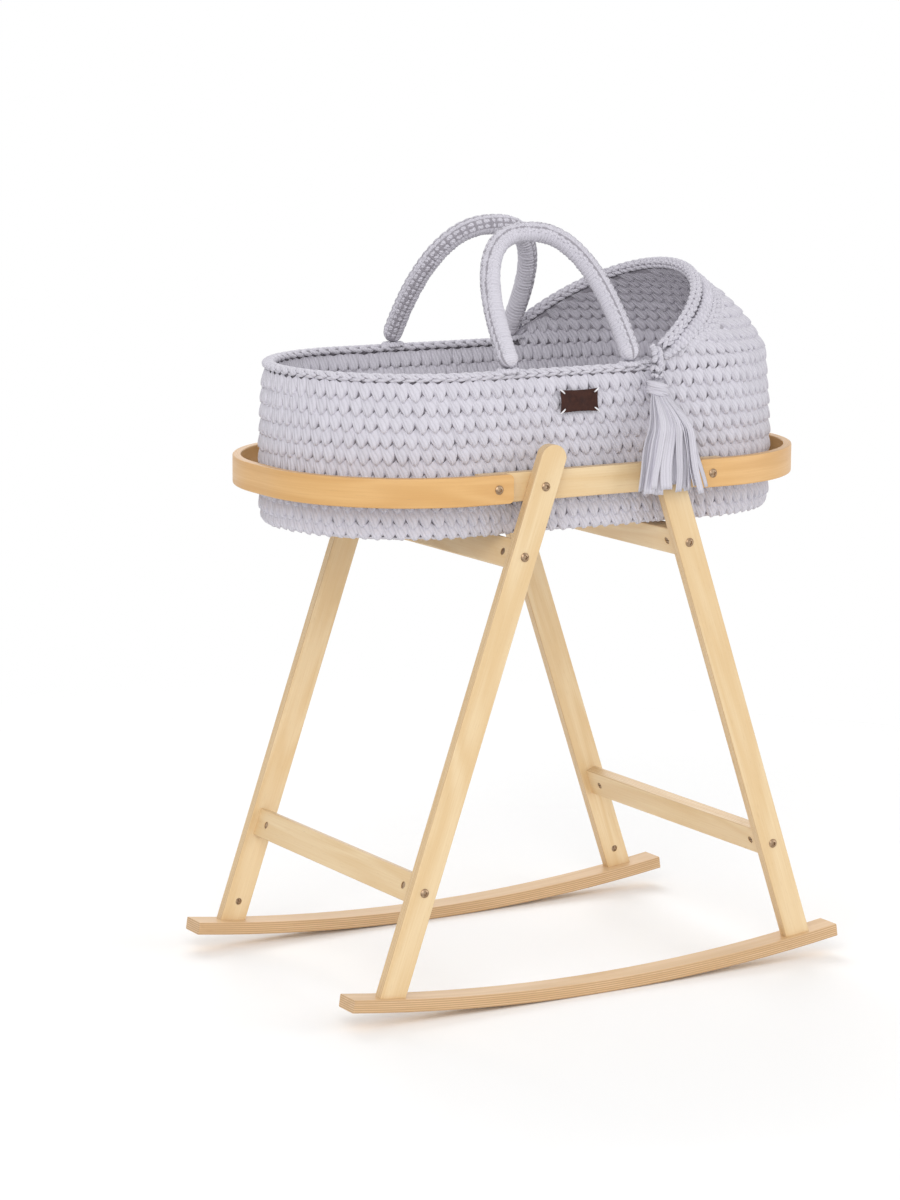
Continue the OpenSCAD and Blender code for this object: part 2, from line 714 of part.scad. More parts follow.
rocker(-1);  // front_rocker
rocker(1);  // back_rocker
leg(-1, -1);  // front_foot_leg
leg(1, -1);  // front_head_leg
leg(-1, 1);  // back_foot_leg
leg(1, 1);  // back_head_leg
bar(-1, upper_bar_run);  // foot_upper_bar
bar(1, upper_bar_run);  // head_upper_bar
bar(-1, stretcher_run);  // foot_stretcher
bar(1, stretcher_run);  // head_stretcher
rail(-1);  // front_rail
rail(1);  // back_rail
bow(-1);  // foot_bow
bow(1);  // head_bow
leg_rail_bolts();
leg_rail_nuts();
bow_bolts();
bow_nuts();
upper_bar_bolts();
upper_bar_nuts();
stretcher_bolts();
stretcher_nuts();
foot_bolts();
foot_nuts();
upper_bar_dowels();
stretcher_dowels();
foot_dowels();
bow_dowels();
basket_base();
basket_wall();
basket_rim();
hood();
hood_band();
mattress();
leather_label();
handle(front_handle_set, -1);  // front_handle
handle(back_handle_set, 1);  // back_handle
tassel_knot(-1);  // front_tassel_knot
tassel_knot(1);  // back_tassel_knot
tassel(-1);  // front_tassel
tassel(1);  // back_tassel
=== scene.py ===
# %% [markdown]
# # A rocking stand with a crocheted baby basket
# A bolted plywood stand on two rockers carries an oval basket of thick jersey yarn.
# The measured CAD model is loaded as a fixed frame, in metres, with the floor at z = 0.
# The wooden and steel parts already have their true shapes, so they keep them and get finishes.
# Everything crocheted is only a plain solid there, so it is made again here, stitch by stitch.

# %% Load the measured frame
import math

import bmesh
import bpy
import numpy as np
from bmesh.types import BMEdge, BMVert
from mathutils import Matrix, Vector


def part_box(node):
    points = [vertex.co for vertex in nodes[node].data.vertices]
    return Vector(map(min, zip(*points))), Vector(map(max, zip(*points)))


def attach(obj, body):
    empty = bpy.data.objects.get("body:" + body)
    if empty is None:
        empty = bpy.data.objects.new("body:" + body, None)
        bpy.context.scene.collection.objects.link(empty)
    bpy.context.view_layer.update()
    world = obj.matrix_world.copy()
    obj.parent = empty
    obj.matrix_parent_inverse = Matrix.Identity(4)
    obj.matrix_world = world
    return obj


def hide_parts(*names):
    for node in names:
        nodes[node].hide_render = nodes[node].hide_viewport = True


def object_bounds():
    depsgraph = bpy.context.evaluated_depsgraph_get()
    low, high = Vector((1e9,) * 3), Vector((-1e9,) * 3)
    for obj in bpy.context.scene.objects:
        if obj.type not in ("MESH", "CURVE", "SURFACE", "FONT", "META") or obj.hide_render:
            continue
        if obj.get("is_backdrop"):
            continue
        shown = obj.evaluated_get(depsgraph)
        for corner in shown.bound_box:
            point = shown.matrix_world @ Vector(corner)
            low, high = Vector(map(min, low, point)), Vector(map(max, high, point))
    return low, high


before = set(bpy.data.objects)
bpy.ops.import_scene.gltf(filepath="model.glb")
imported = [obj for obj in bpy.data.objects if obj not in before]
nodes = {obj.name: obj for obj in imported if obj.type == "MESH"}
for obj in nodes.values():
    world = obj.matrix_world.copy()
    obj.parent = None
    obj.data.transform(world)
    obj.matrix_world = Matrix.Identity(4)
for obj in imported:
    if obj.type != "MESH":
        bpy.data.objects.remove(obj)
cad_low, cad_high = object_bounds()
scene = bpy.context.scene
dice = np.random.default_rng(11)
print("frame:", len(nodes), "nodes, size", [round(s, 3) for s in cad_high - cad_low])

# %% [markdown]
# ## The camera
# The stand was photographed from its front, a little towards the foot end and from above.
# A long lens keeps the legs nearly parallel. The angles below turn a camera that looks along its
# own -Z: first round the object, then up, then a slight roll.

# %% Camera
CAMERA_PLACE = Vector((-2.6765, -4.3017, 1.4076))
CAMERA_AZIMUTH = math.radians(-30.853)
CAMERA_ELEVATION = math.radians(10.0)
CAMERA_ROLL = math.radians(0.387)
CAMERA_LENS, CAMERA_FILM = 108.62, 36  # millimetres; the film is as wide as the picture's long side


def camera_turn():
    """The three directions of the camera: to its right, up, and backwards out of the lens."""
    level, rise = math.cos(CAMERA_ELEVATION), math.sin(CAMERA_ELEVATION)
    flat_x, flat_y = math.cos(CAMERA_AZIMUTH), math.sin(CAMERA_AZIMUTH)
    back = Vector((flat_y * level, -flat_x * level, rise))
    flat = Vector((flat_x, flat_y, 0))
    steep = back.cross(flat)
    right = math.cos(CAMERA_ROLL) * flat + math.sin(CAMERA_ROLL) * steep
    return right, back.cross(right), back


camera = bpy.data.objects.new("camera", bpy.data.cameras.new("camera"))
camera.data.lens = CAMERA_LENS
camera.data.sensor_width = CAMERA_FILM
camera.matrix_world = Matrix(camera_turn()).transposed().to_4x4()
camera.location = CAMERA_PLACE
scene.collection.objects.link(camera)
scene.camera = camera
scene.view_settings.view_transform = "Standard"
print("camera:", [round(c, 3) for c in camera.location], "lens", camera.data.lens)

# %% [markdown]
# ## Shader helpers
# A procedural finish is a small network of nodes. These helpers add one node at a time, so that a
# finish can be read from top to bottom. An input that is given a socket is linked to it, and one
# that is given a number keeps that number.

# %% Shader helpers
def put(tree, kind, inputs=(), **settings):
    """Adds one shader node, sets its options, and links or fills its inputs."""
    made = tree.nodes.new("ShaderNode" + kind)
    for option, value in settings.items():
        setattr(made, option, value)
    for key, value in inputs.items() if isinstance(inputs, dict) else enumerate(inputs):
        if isinstance(value, bpy.types.NodeSocket):
            tree.links.new(value, made.inputs[key])
        else:
            made.inputs[key].default_value = value
    return made


def calc(tree, how, *values):
    """One step of arithmetic on sockets or numbers."""
    return put(tree, "Math", values, operation=how).outputs[0]


def span(tree, value, low, high, to_low=0.0, to_high=1.0):
    """Stretches a value's range onto another one, held at the ends."""
    return put(tree, "MapRange", [value, low, high, to_low, to_high]).outputs[0]


def spot_on(tree):
    """A point's own place on its piece."""
    return put(tree, "TexCoord").outputs["Object"]


def finish_of(name, **sockets):
    """A new material with its principled shader, some of whose plain values are set."""
    material = bpy.data.materials.new(name)
    material.use_nodes = True
    shader = material.node_tree.nodes["Principled BSDF"]
    for socket, value in sockets.items():
        shader.inputs[socket.replace("_", " ")].default_value = value
    return material, material.node_tree, shader


print("shader helpers ready")

# %% [markdown]
# ## Floor and light
# The floor is a wide pale disc that fades out, so no edge or horizon shows behind the object.
# The world is plain white where the camera sees it, and a softer light for everything else, which
# keeps the background white without more light on the object. A large softbox at the left front
# gives the shape its gentle shading, and two weaker ones fill the right and the back.

# %% Floor
FLOOR_RADIUS = 2.9
FLOOR_SOLID = 0.9  # the floor is whole up to here, and has faded out before its edge
FLOOR_WHITE = (0.98, 0.98, 0.98, 1)


def mesh_of(bm, name):
    """Turns a bmesh into a mesh of its own, and frees it."""
    mesh = bpy.data.meshes.new(name)
    bm.to_mesh(mesh)
    bm.free()
    return mesh


def pale_floor():
    material, tree, shader = finish_of(
        "pale_floor", Base_Color=FLOOR_WHITE, Roughness=0.9, Specular_IOR_Level=0.1)
    far = put(tree, "VectorMath", [spot_on(tree)], operation="LENGTH").outputs["Value"]
    fade = span(tree, far, FLOOR_SOLID, FLOOR_RADIUS * 0.7)
    clear = put(tree, "BsdfTransparent").outputs[0]
    both = put(tree, "MixShader", [fade, shader.outputs[0], clear]).outputs[0]
    tree.links.new(both, tree.nodes["Material Output"].inputs[0])
    bm = bmesh.new()
    bmesh.ops.create_circle(bm, cap_ends=True, segments=96, radius=FLOOR_RADIUS)
    bmesh.ops.translate(bm, verts=bm.verts, vec=(0, 0, cad_low.z - 0.0005))
    mesh = mesh_of(bm, "floor")
    mesh.materials.append(material)
    floor = bpy.data.objects.new("floor", mesh)
    scene.collection.objects.link(floor)
    floor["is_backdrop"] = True


pale_floor()
print("floor: radius", FLOOR_RADIUS)

# %% Light
AMBIENT = 0.69  # strength of the world's light on the object, where 1 is plain white
SOFTBOXES = {  # place, size in metres, power in watts
    "key": ((-2.4, -2.9, 2.6), 2.8, 74),
    "fill": ((3.2, -2.6, 1.4), 2.6, 38),
    "rear": ((0.8, 2.8, 3.2), 2.4, 46),
}
LIT_POINT = Vector((0, 0, 0.55))


def studio_light():
    world = bpy.data.worlds.new("studio")
    world.use_nodes = True
    scene.world = world
    tree = world.node_tree
    path = put(tree, "LightPath").outputs
    seen = calc(tree, "ADD", path["Is Camera Ray"], path["Is Glossy Ray"])
    seen = calc(tree, "MINIMUM", calc(tree, "ADD", seen, path["Is Transmission Ray"]), 1.0)
    strength = span(tree, seen, 0.0, 1.0, AMBIENT, 1.0)
    tree.nodes["Background"].inputs["Color"].default_value = (1, 1, 1, 1)
    tree.links.new(strength, tree.nodes["Background"].inputs["Strength"])
    for name, (place, size, power) in SOFTBOXES.items():
        lamp = bpy.data.lights.new(name, "AREA")
        lamp.size, lamp.energy = size, power
        box = bpy.data.objects.new(name, lamp)
        box.location = place
        box.rotation_euler = (LIT_POINT - Vector(place)).to_track_quat("-Z", "Y").to_euler()
        scene.collection.objects.link(box)


studio_light()
print("lights:", ", ".join(SOFTBOXES))

# %% [markdown]
# ## Birch plywood
# The stand is cut from plywood: thin birch veneers, each crossing the next, glued into a board.
# A face shows one quiet veneer with its grain along the board. A cut edge shows the stack, paler
# where the grain runs along it and browner where it is cut across. One finish gives both: it works
# out how deep a point lies in the board, and that depth picks the veneer. Only the way from a point
# to "along, across and deep" differs between straight, leaning and bent boards.

# %% Board directions
VENEER = 0.0015              # thickness of one veneer
LEG_LEAN = math.radians(19.0)
LEG_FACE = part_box("back_foot_leg")[0].y
RAIL_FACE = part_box("back_rail")[0].y
BAR_FACE = 0.3197            # distance of the bars' inner faces, square to the leaning legs
ROCKER_CENTRE = 2.87114      # height of the middle of the rockers' curve
ROCKER_FACE = 2.85314        # radius of the rockers' upper faces
BOW_CORNER = (0.198, 0.025)  # middle of the bows' corner curves
BOW_FACE = 0.200             # radius of the bows' inner faces round it


def leg_board(tree, x, y, z):
    x = calc(tree, "ABSOLUTE", x)
    cos, sin = math.cos(LEG_LEAN), math.sin(LEG_LEAN)
    down = calc(tree, "MULTIPLY_ADD", z, cos, calc(tree, "MULTIPLY", x, -sin))
    side = calc(tree, "MULTIPLY_ADD", z, sin, calc(tree, "MULTIPLY", x, cos))
    return down, side, calc(tree, "SUBTRACT", calc(tree, "ABSOLUTE", y), LEG_FACE)


def bar_board(tree, x, y, z):
    down, side, _ = leg_board(tree, x, y, z)
    return y, down, calc(tree, "SUBTRACT", side, BAR_FACE)


def rail_board(tree, x, y, z):
    return x, z, calc(tree, "SUBTRACT", calc(tree, "ABSOLUTE", y), RAIL_FACE)


def far_from(tree, a, b):
    """Length of a flat vector."""
    squares = calc(tree, "MULTIPLY", a, a), calc(tree, "MULTIPLY", b, b)
    return calc(tree, "SQRT", calc(tree, "ADD", *squares))


def rocker_board(tree, x, y, z):
    radius = far_from(tree, x, calc(tree, "SUBTRACT", z, ROCKER_CENTRE))
    return x, y, calc(tree, "SUBTRACT", radius, ROCKER_FACE)


def bow_board(tree, x, y, z):
    x, y = calc(tree, "ABSOLUTE", x), calc(tree, "ABSOLUTE", y)
    out_x = calc(tree, "MAXIMUM", calc(tree, "SUBTRACT", x, BOW_CORNER[0]), 0.0)
    out_y = calc(tree, "MAXIMUM", calc(tree, "SUBTRACT", y, BOW_CORNER[1]), 0.0)
    turn = calc(tree, "MULTIPLY", calc(tree, "ARCTAN2", out_x, out_y), BOW_FACE)
    run = calc(tree, "ADD", calc(tree, "MINIMUM", x, BOW_CORNER[0]), turn)
    run = calc(tree, "SUBTRACT", run, calc(tree, "MINIMUM", y, BOW_CORNER[1]))
    return run, z, calc(tree, "SUBTRACT", far_from(tree, out_x, out_y), BOW_FACE)


print("veneer", VENEER, "m, legs lean", round(math.degrees(LEG_LEAN), 1), "degrees")

# %% [markdown]
# A natural finish needs a few more nodes: noise for what is uneven, a mix of two colours, and a
# bump, which tilts the light as if the surface were rough and leaves its points where they are.

# %% Colour and grain helpers
def tint(tree, share, first, second, how="MIX"):
    """Mixes two colours by a share from 0 to 1."""
    inputs = {0: share, 6: first, 7: second}
    return put(tree, "Mix", inputs, data_type="RGBA", blend_type=how).outputs[2]


def grainy(tree, place, scale, detail=3.0, rough=0.55, twist=0.0):
    """Noise from about 0 to 1 at a place."""
    return put(tree, "TexNoise", {
        "Vector": place, "Scale": scale, "Detail": detail, "Roughness": rough,
        "Distortion": twist}).outputs["Fac"]


def bumpy(tree, height, strength, distance):
    """The way a surface seems to face when a height in metres is laid on it."""
    inputs = {"Height": height, "Strength": strength, "Distance": distance}
    return put(tree, "Bump", inputs).outputs[0]


def feed(tree, shader, **sockets):
    """Links what a finish has worked out to the shader's inputs."""
    for socket, value in sockets.items():
        tree.links.new(value, shader.inputs[socket.replace("_", " ")])


def dress(node_names, material):
    """Gives a finish to parts that keep their CAD shape."""
    for node_name in node_names:
        for held in nodes[node_name].material_slots:
            held.material = material


print("colour and grain helpers ready")

# %% Plywood finish
GLUE_BROWN = (0.28, 0.15, 0.07, 1)
CUT_BROWN = (0.48, 0.29, 0.14, 1)


def plywood(name, board, seed, pale, streak, cut):
    """Lacquered birch ply: one veneer's grain on the faces, the stack of veneers on the edges."""
    material, tree, shader = finish_of(name, Roughness=0.4, Coat_Weight=0.12, Coat_Roughness=0.25)
    along, across, deep = board(tree, *put(tree, "SeparateXYZ", [spot_on(tree)]).outputs)
    layer = calc(tree, "MULTIPLY_ADD", deep, 1 / VENEER, 0.5)
    own = calc(tree, "MULTIPLY_ADD", calc(tree, "FLOOR", layer), 0.37, seed)

    def stretched(lengthwise, crosswise):
        longer = calc(tree, "MULTIPLY", along, lengthwise)
        wider = calc(tree, "MULTIPLY", across, crosswise)
        return put(tree, "CombineXYZ", [longer, wider, own]).outputs[0]

    figure = grainy(tree, stretched(2.2, 16.0), 1.0, 1.0, 0.5, 0.6)
    bands = calc(tree, "SINE", calc(tree, "MULTIPLY", figure, 34.0))
    fibre = grainy(tree, stretched(9.0, 520.0), 1.0, 4.0, 0.65)
    flecks = grainy(tree, stretched(60.0, 900.0), 1.0, 1.0)
    colour = tint(tree, span(tree, bands, -1.0, 1.0, 0.0, 0.55), pale, streak)
    colour = tint(tree, span(tree, fibre, 0.35, 0.7, 0.0, 0.45), colour, streak)
    colour = tint(tree, span(tree, flecks, 0.66, 0.8, 0.0, 0.3), colour, CUT_BROWN)
    crossed = calc(tree, "FLOORED_MODULO", calc(tree, "FLOOR", layer), 2.0)
    colour = tint(tree, calc(tree, "MULTIPLY", crossed, cut), colour, CUT_BROWN)
    seam = calc(tree, "ABSOLUTE", calc(tree, "SUBTRACT", calc(tree, "FRACT", layer), 0.5))
    colour = tint(tree, span(tree, seam, 0.38, 0.5, 0.0, 0.55), colour, GLUE_BROWN)
    rough = span(tree, fibre, 0.2, 0.8, 0.34, 0.5)
    feed(tree, shader, Base_Color=colour, Roughness=rough, Normal=bumpy(tree, fibre, 0.12, 0.0004))
    return material


PALE_BIRCH = (0.79, 0.61, 0.37, 1), (0.68, 0.46, 0.22, 1), 0.42      # veneer, its streaks, cut edge
DEEP_BIRCH = (0.73, 0.51, 0.30, 1), (0.60, 0.38, 0.18, 1), 0.85
HONEY_BIRCH = (0.73, 0.44, 0.175, 1), (0.60, 0.32, 0.10, 1), 0.42
BOARDS = (
    (("front_foot_leg", "front_head_leg", "back_foot_leg", "back_head_leg"), leg_board, PALE_BIRCH),
    (("foot_upper_bar", "head_upper_bar", "foot_stretcher", "head_stretcher"), bar_board, PALE_BIRCH),
    (("front_rail", "back_rail"), rail_board, PALE_BIRCH),
    (("front_rocker", "back_rocker"), rocker_board, DEEP_BIRCH),
    (("foot_bow", "head_bow"), bow_board, HONEY_BIRCH),
)
for board_names, board, wood in BOARDS:
    for board_name in board_names:
        dress([board_name], plywood(board_name + "_ply", board, dice.uniform(0, 40), *wood))
print("plywood on", sum(len(b[0]) for b in BOARDS), "boards")

# %% [markdown]
# ## Bronzed steel and beech
# The bolts have domed heads with a hexagon socket, and a thin bronze plating that is a little
# uneven and worn paler in places. The hidden dowels are plain beech, with the grain along them.

# %% Bolts and dowels
def bronzed_steel():
    material, tree, shader = finish_of("bronzed_steel", Metallic=1.0, Roughness=0.35)
    spot = spot_on(tree)
    worn = grainy(tree, spot, 260.0, 4.0)
    colour = tint(tree, span(tree, worn, 0.35, 0.7), (0.24, 0.15, 0.09, 1), (0.50, 0.37, 0.25, 1))
    rough = span(tree, worn, 0.3, 0.7, 0.26, 0.48)
    pitted = bumpy(tree, grainy(tree, spot, 1500.0, 2.0), 0.15, 0.0002)
    feed(tree, shader, Base_Color=colour, Roughness=rough, Normal=pitted)
    return material


def beech():
    material, tree, shader = finish_of("beech_dowel", Roughness=0.6)
    stretch = {"Vector": spot_on(tree), "Scale": (900.0, 60.0, 900.0)}
    fibre = grainy(tree, put(tree, "Mapping", stretch).outputs[0], 1.0, 3.0)
    colour = tint(tree, span(tree, fibre, 0.3, 0.7), (0.72, 0.53, 0.35, 1), (0.58, 0.39, 0.23, 1))
    feed(tree, shader, Base_Color=colour)
    return material


dress([n for n in nodes if n.endswith(("_bolts", "_nuts"))], bronzed_steel())
dress([n for n in nodes if n.endswith("_dowels")], beech())
print("fasteners:", sum(n.endswith(("_bolts", "_nuts", "_dowels")) for n in nodes), "groups")

# %% [markdown]
# ## Jersey yarn
# The yarn is a strip of soft cotton jersey that rolls in on itself, so each loop has fine creases
# along its run and a matt, slightly fuzzy face. A wave texture on the stitch's own UV map draws the
# creases as a bump and paints shade along them. Two attributes on the mesh help: "tone" makes each
# loop a little lighter or darker, and "depth" sets painted shade: the yarn is painted darker where
# it dives between its neighbours, where shade falls.

# %% Yarn finish
YARN_LIGHT = (0.655, 0.635, 0.700, 1)
# the near-black of the painted shade, mixed in where the yarn dives into the gaps
YARN_PAINTED_SHADE = (0.16, 0.14, 0.165, 1)


def jersey(name, crease_turn, creases, crease_depth=0.0012):
    """Soft yarn whose creases are turned by some degrees, so many to a stitch and so deep."""
    material, tree, shader = finish_of(
        name, Roughness=0.88, Sheen_Weight=0.2, Specular_IOR_Level=0.2)
    tone = put(tree, "Attribute", attribute_name="tone").outputs["Fac"]
    depth = put(tree, "Attribute", attribute_name="depth").outputs["Fac"]
    flat = put(tree, "UVMap", uv_map="yarn").outputs[0]
    turn = (0, 0, math.radians(crease_turn))
    turned = put(tree, "Mapping", {"Vector": flat, "Rotation": turn}).outputs[0]
    crease = put(tree, "TexWave", {
        "Vector": turned, "Scale": creases, "Distortion": 3.0, "Detail": 2.0, "Detail Scale": 1.2,
        "Phase Offset": calc(tree, "MULTIPLY", tone, 60.0)}).outputs["Fac"]
    fuzz = grainy(tree, spot_on(tree), 900.0, 2.0)
    # Painted shade: yarn with a low depth, in the gaps between loops, is mixed towards the
    # near-black.
    colour = tint(tree, span(tree, depth, 0.0, 0.55), YARN_PAINTED_SHADE, YARN_LIGHT)
    uneven = span(tree, tone, 0.0, 1.0, 0.97, 1.03)
    # Painted shade: the creases are painted darker; the tone and the fuzz are the yarn's own
    # unevenness.
    shade = calc(tree, "ADD", uneven, span(tree, crease, 0.0, 0.3, -0.14, 0.0))
    shade = calc(tree, "ADD", shade, span(tree, fuzz, 0.3, 0.7, -0.03, 0.03))
    grey = put(tree, "CombineColor", [shade, shade, shade]).outputs[0]
    colour = tint(tree, 1.0, colour, grey, "MULTIPLY")
    height = calc(tree, "MULTIPLY_ADD", fuzz, 0.25, crease)
    feed(tree, shader, Base_Color=colour, Normal=bumpy(tree, height, 0.7, crease_depth))
    return material


stitched_yarn = jersey("stitched_yarn", -22.0, 1.0)
wrapped_yarn = jersey("wrapped_yarn", 90.0, 60.0, 0.0005)
strip_yarn = jersey("strip_yarn", 0.0, 1.2, 0.0006)
print("yarn finishes:", stitched_yarn.name, wrapped_yarn.name, strip_yarn.name)

# %% [markdown]
# ## One stitch, then many
# A crochet stitch seen from outside is a plump shield: its foot comes to a point and stands proud,
# its head has a notch in which the next row's foot sits, and its edges dive behind the neighbours.
# It starts as a small grid of squares, so it gets a UV map for free, and each point is moved by a
# short formula. The whole wall is then one piece, sewn from copies whose points are bent over it.

# %% Stitch shapes
def shaped_grid(name, columns, rows, shape, depth=None):
    """A grid of squares with a UV map, whose points shape(a, h) moves; a and h run from 0 to 1."""
    bm = bmesh.new()
    bm.loops.layers.uv.new("yarn")
    marks = bm.verts.layers.float.new("depth") if depth else None
    bmesh.ops.create_grid(bm, x_segments=columns, y_segments=rows, size=0.5, calc_uvs=True)
    for point in bm.verts:
        a, h = point.co.x + 0.5, point.co.y + 0.5
        point.co = shape(a, h)
        if depth:
            point[marks] = depth(a, h)
    return mesh_of(bm, name)


def stitch_shape(vee, slant, lift, point):
    """Unit stitch: depth of its notch, its lean, how far its head sinks, how sharp its foot is."""
    def shape(a, h):
        a = 2 * a - 1
        narrow = 1 - point * max(0, 1 - h / 0.5) ** 1.8
        rise = math.sin(min(1, h / 0.17) * math.pi / 2) ** 0.6
        sink = 1 - lift * max(0, (h - 0.3) / 0.7) ** 1.2
        side = 0.58 * min(1, max(0, (h - 0.1) / 0.4))
        crown = side + (1 - side) * (1 - abs(a) ** 3) ** 0.6
        x = 0.55 * a * narrow - slant * (h - 0.5)
        y = 1.2 * (h - 0.5) + vee * (abs(a) ** 1.2 - 0.5)
        return Vector((x, y, crown * rise * sink))
    return shape


def link_shape(a, h):
    """Unit chain link: a plump leaf that lies along x."""
    a, h = 2 * a - 1, 2 * h - 1
    full = (1 - abs(a) ** 2.4) ** 0.6
    return Vector((0.5 * a, 0.5 * h * (0.35 + 0.65 * full), full * (1 - h * h) ** 0.6))


outside_stitch = shaped_grid("outside_stitch", 6, 8, stitch_shape(0.30, 0.22, 0.60, 0.36))
inside_stitch = shaped_grid("inside_stitch", 6, 7, stitch_shape(0.14, 0.06, 0.5, 0.2))
chain_link = shaped_grid("chain_link", 6, 5, link_shape)
print("faces in a stitch:", len(outside_stitch.polygons), "in a link:", len(chain_link.polygons))

# %% Sewing helpers
def add_piece(name, mesh, material, body):
    """Links a finished mesh into the scene as a piece of the object."""
    piece = bpy.data.objects.new(name, mesh)
    scene.collection.objects.link(piece)
    mesh.materials.append(material)
    mesh.shade_smooth()
    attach(piece, body)
    return piece


def mark(mesh, attribute, values):
    """Stores one number for each point of a mesh, for the finish to read."""
    layer = mesh.attributes.new(attribute, "FLOAT", "POINT")
    layer.data.foreach_set("value", np.asarray(values, np.float32))


def points_of(mesh):
    """All points of a mesh as an array of x, y, z."""
    flat = np.zeros(len(mesh.vertices) * 3)
    mesh.vertices.foreach_get("co", flat)
    return flat.reshape(-1, 3)


def sew(name, unit, points, material=None, body="basket", lowest=0.0):
    """Joins copies of a unit stitch, one to each set of points.

    lowest is the depth at their edges, where the yarn gets its darkest painted shade.
    """
    bm = bmesh.new()
    for _ in points:
        bm.from_mesh(unit)
    mesh = mesh_of(bm, name)
    mesh.vertices.foreach_set("co", np.ravel(points))
    # Painted shade: points low on the unit stitch, towards its edges, get a low depth and are painted
    # darker.
    height = lowest + (1 - lowest) * np.maximum(points_of(unit)[:, 2], 0) ** 0.7
    mark(mesh, "depth", np.tile(height, len(points)))
    mark(mesh, "tone", np.repeat(dice.random(len(points)), len(unit.vertices)))
    return add_piece(name, mesh, material or stitched_yarn, body)


def copies(piece, unit):
    """How many copies of a unit stitch a sewn piece has."""
    return len(piece.data.polygons) // len(unit.polygons)


print("sewing helpers ready")

# %% [markdown]
# ## The basket's skin
# The basket is an oval: two straight sides joined by half circles, worked round and round in rows.
# Its section starts flat under the floor, turns up round the base and bulges a little on the way
# to the rim. A station on this skin is found from two distances: how far along the section the row
# lies, and how far round the oval the stitch lies.

# %% Skin of the basket
wall_low, wall_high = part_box("basket_wall")
rim_low, rim_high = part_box("basket_rim")
BASKET_X = (wall_low.x + wall_high.x) / 2
BASKET_R = (wall_high.y - wall_low.y) / 2
BASKET_C = (wall_high.x - wall_low.x) / 2 - BASKET_R
FLOOR_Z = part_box("basket_base")[0].z
RIM_TOP, RIM_LOW = rim_high.z, rim_low.z
HOOD_FOOT = rim_high.x - BASKET_X
WALL_T, WALL_LEAN = 0.016, 0.008
BASE_T, BASE_ROUND = 0.014, 0.0126
WALL_SHARES = (  # share of the wall's height, share of its lean
    (0, 0.3), (0.1, 0.06), (0.28, 0), (0.5, 0.12), (0.75, 0.5), (1, 1))
BEND_STEPS = 9
STITCH, ROW = 0.01755, 0.0213  # width of a stitch, height of a row


def wall_radius(z):
    """Outer radius of the oval's ends at a height on the wall."""
    heights, leans = zip(*WALL_SHARES)
    share = (z - FLOOR_Z - BASE_T) / (RIM_TOP - FLOOR_Z - BASE_T)
    return BASKET_R - WALL_LEAN * float(np.interp(share, heights, leans))


def skin_section():
    """Radius and height along the section, from the middle of the floor to just over the wall."""
    foot = wall_radius(FLOOR_Z + BASE_T)
    bend = [(foot - BASE_ROUND * (1 - math.cos(a)), FLOOR_Z + BASE_ROUND * (1 + math.sin(a)))
            for a in np.radians(np.linspace(-90, 0, BEND_STEPS))]
    wall = [(wall_radius(z), z) for z in np.linspace(FLOOR_Z + BASE_T, RIM_TOP, 40)]
    return np.array([(0.0, FLOOR_Z)] + bend + wall + [(wall_radius(RIM_TOP), RIM_TOP + 0.04)])


def run_along(points):
    """How far along a line of points each of them lies."""
    return np.concatenate([[0], np.cumsum(np.linalg.norm(np.diff(points, axis=0), axis=1))])


section = skin_section()
section_run = run_along(section)


def on_section(run):
    """Radius and height at distances along the section."""
    return np.array([np.interp(run, section_run, section[:, i]) for i in (0, 1)])


def round_oval(share, radius, row_radius):
    """Places round an oval at shares of the way; a row keeps its columns by its own radius."""
    straight, arc = 2 * BASKET_C, math.pi * max(row_radius, 0.001)
    run = np.mod(share, 1) * 2 * (straight + arc)
    far_half = run >= straight + arc
    run = np.where(far_half, run - straight - arc, run)
    turn = np.maximum(run - straight, 0) / (arc / math.pi)
    x = np.minimum(run, straight) - BASKET_C + radius * np.sin(turn)
    side = np.where(far_half, -1.0, 1.0)
    return x * side, -radius * np.cos(turn) * side


def on_skin(run, share, proud, row_radius):
    """Points over the skin: along the section, round the oval and out of it."""
    run = np.maximum(run, 0)
    ahead = on_section(run + 0.004) - on_section(run - 0.004)
    dr, dz = ahead / np.linalg.norm(ahead, axis=0)
    radius, z = on_section(run)
    x, y = round_oval(share, radius + dz * proud, row_radius)
    return np.stack([x + BASKET_X, y, z - dr * proud], axis=-1)


def oval_length(radius):
    return 4 * BASKET_C + 2 * math.pi * radius


wall_part = slice(1 + BEND_STEPS, None)  # the section without the floor and its bend
WALL_TOP_RUN = float(np.interp(RIM_LOW, section[wall_part, 1], section_run[wall_part]))
print("section", round(section_run[-1], 3), "m, round", round(oval_length(BASKET_R), 3), "m")

# %% [markdown]
# ## Wall and floor of stitches
# Each row of the outside is placed from the rim downwards, so that the last rows wrap round the
# edge of the floor and go on underneath it. Every row's stitches are shifted a little from the
# row above, because crocheting in a spiral makes the columns lean.

# %% Outside stitches
PROUD = 0.0075      # how far a stitch stands out of the cloth behind it
WALL_COUNT = round(oval_length(BASKET_R) / STITCH)
COLUMN_SHIFT = 0.22


def row_run(row):
    """How far along the section a row lies, counted down from the rim."""
    return WALL_TOP_RUN - (row + 0.5) * ROW


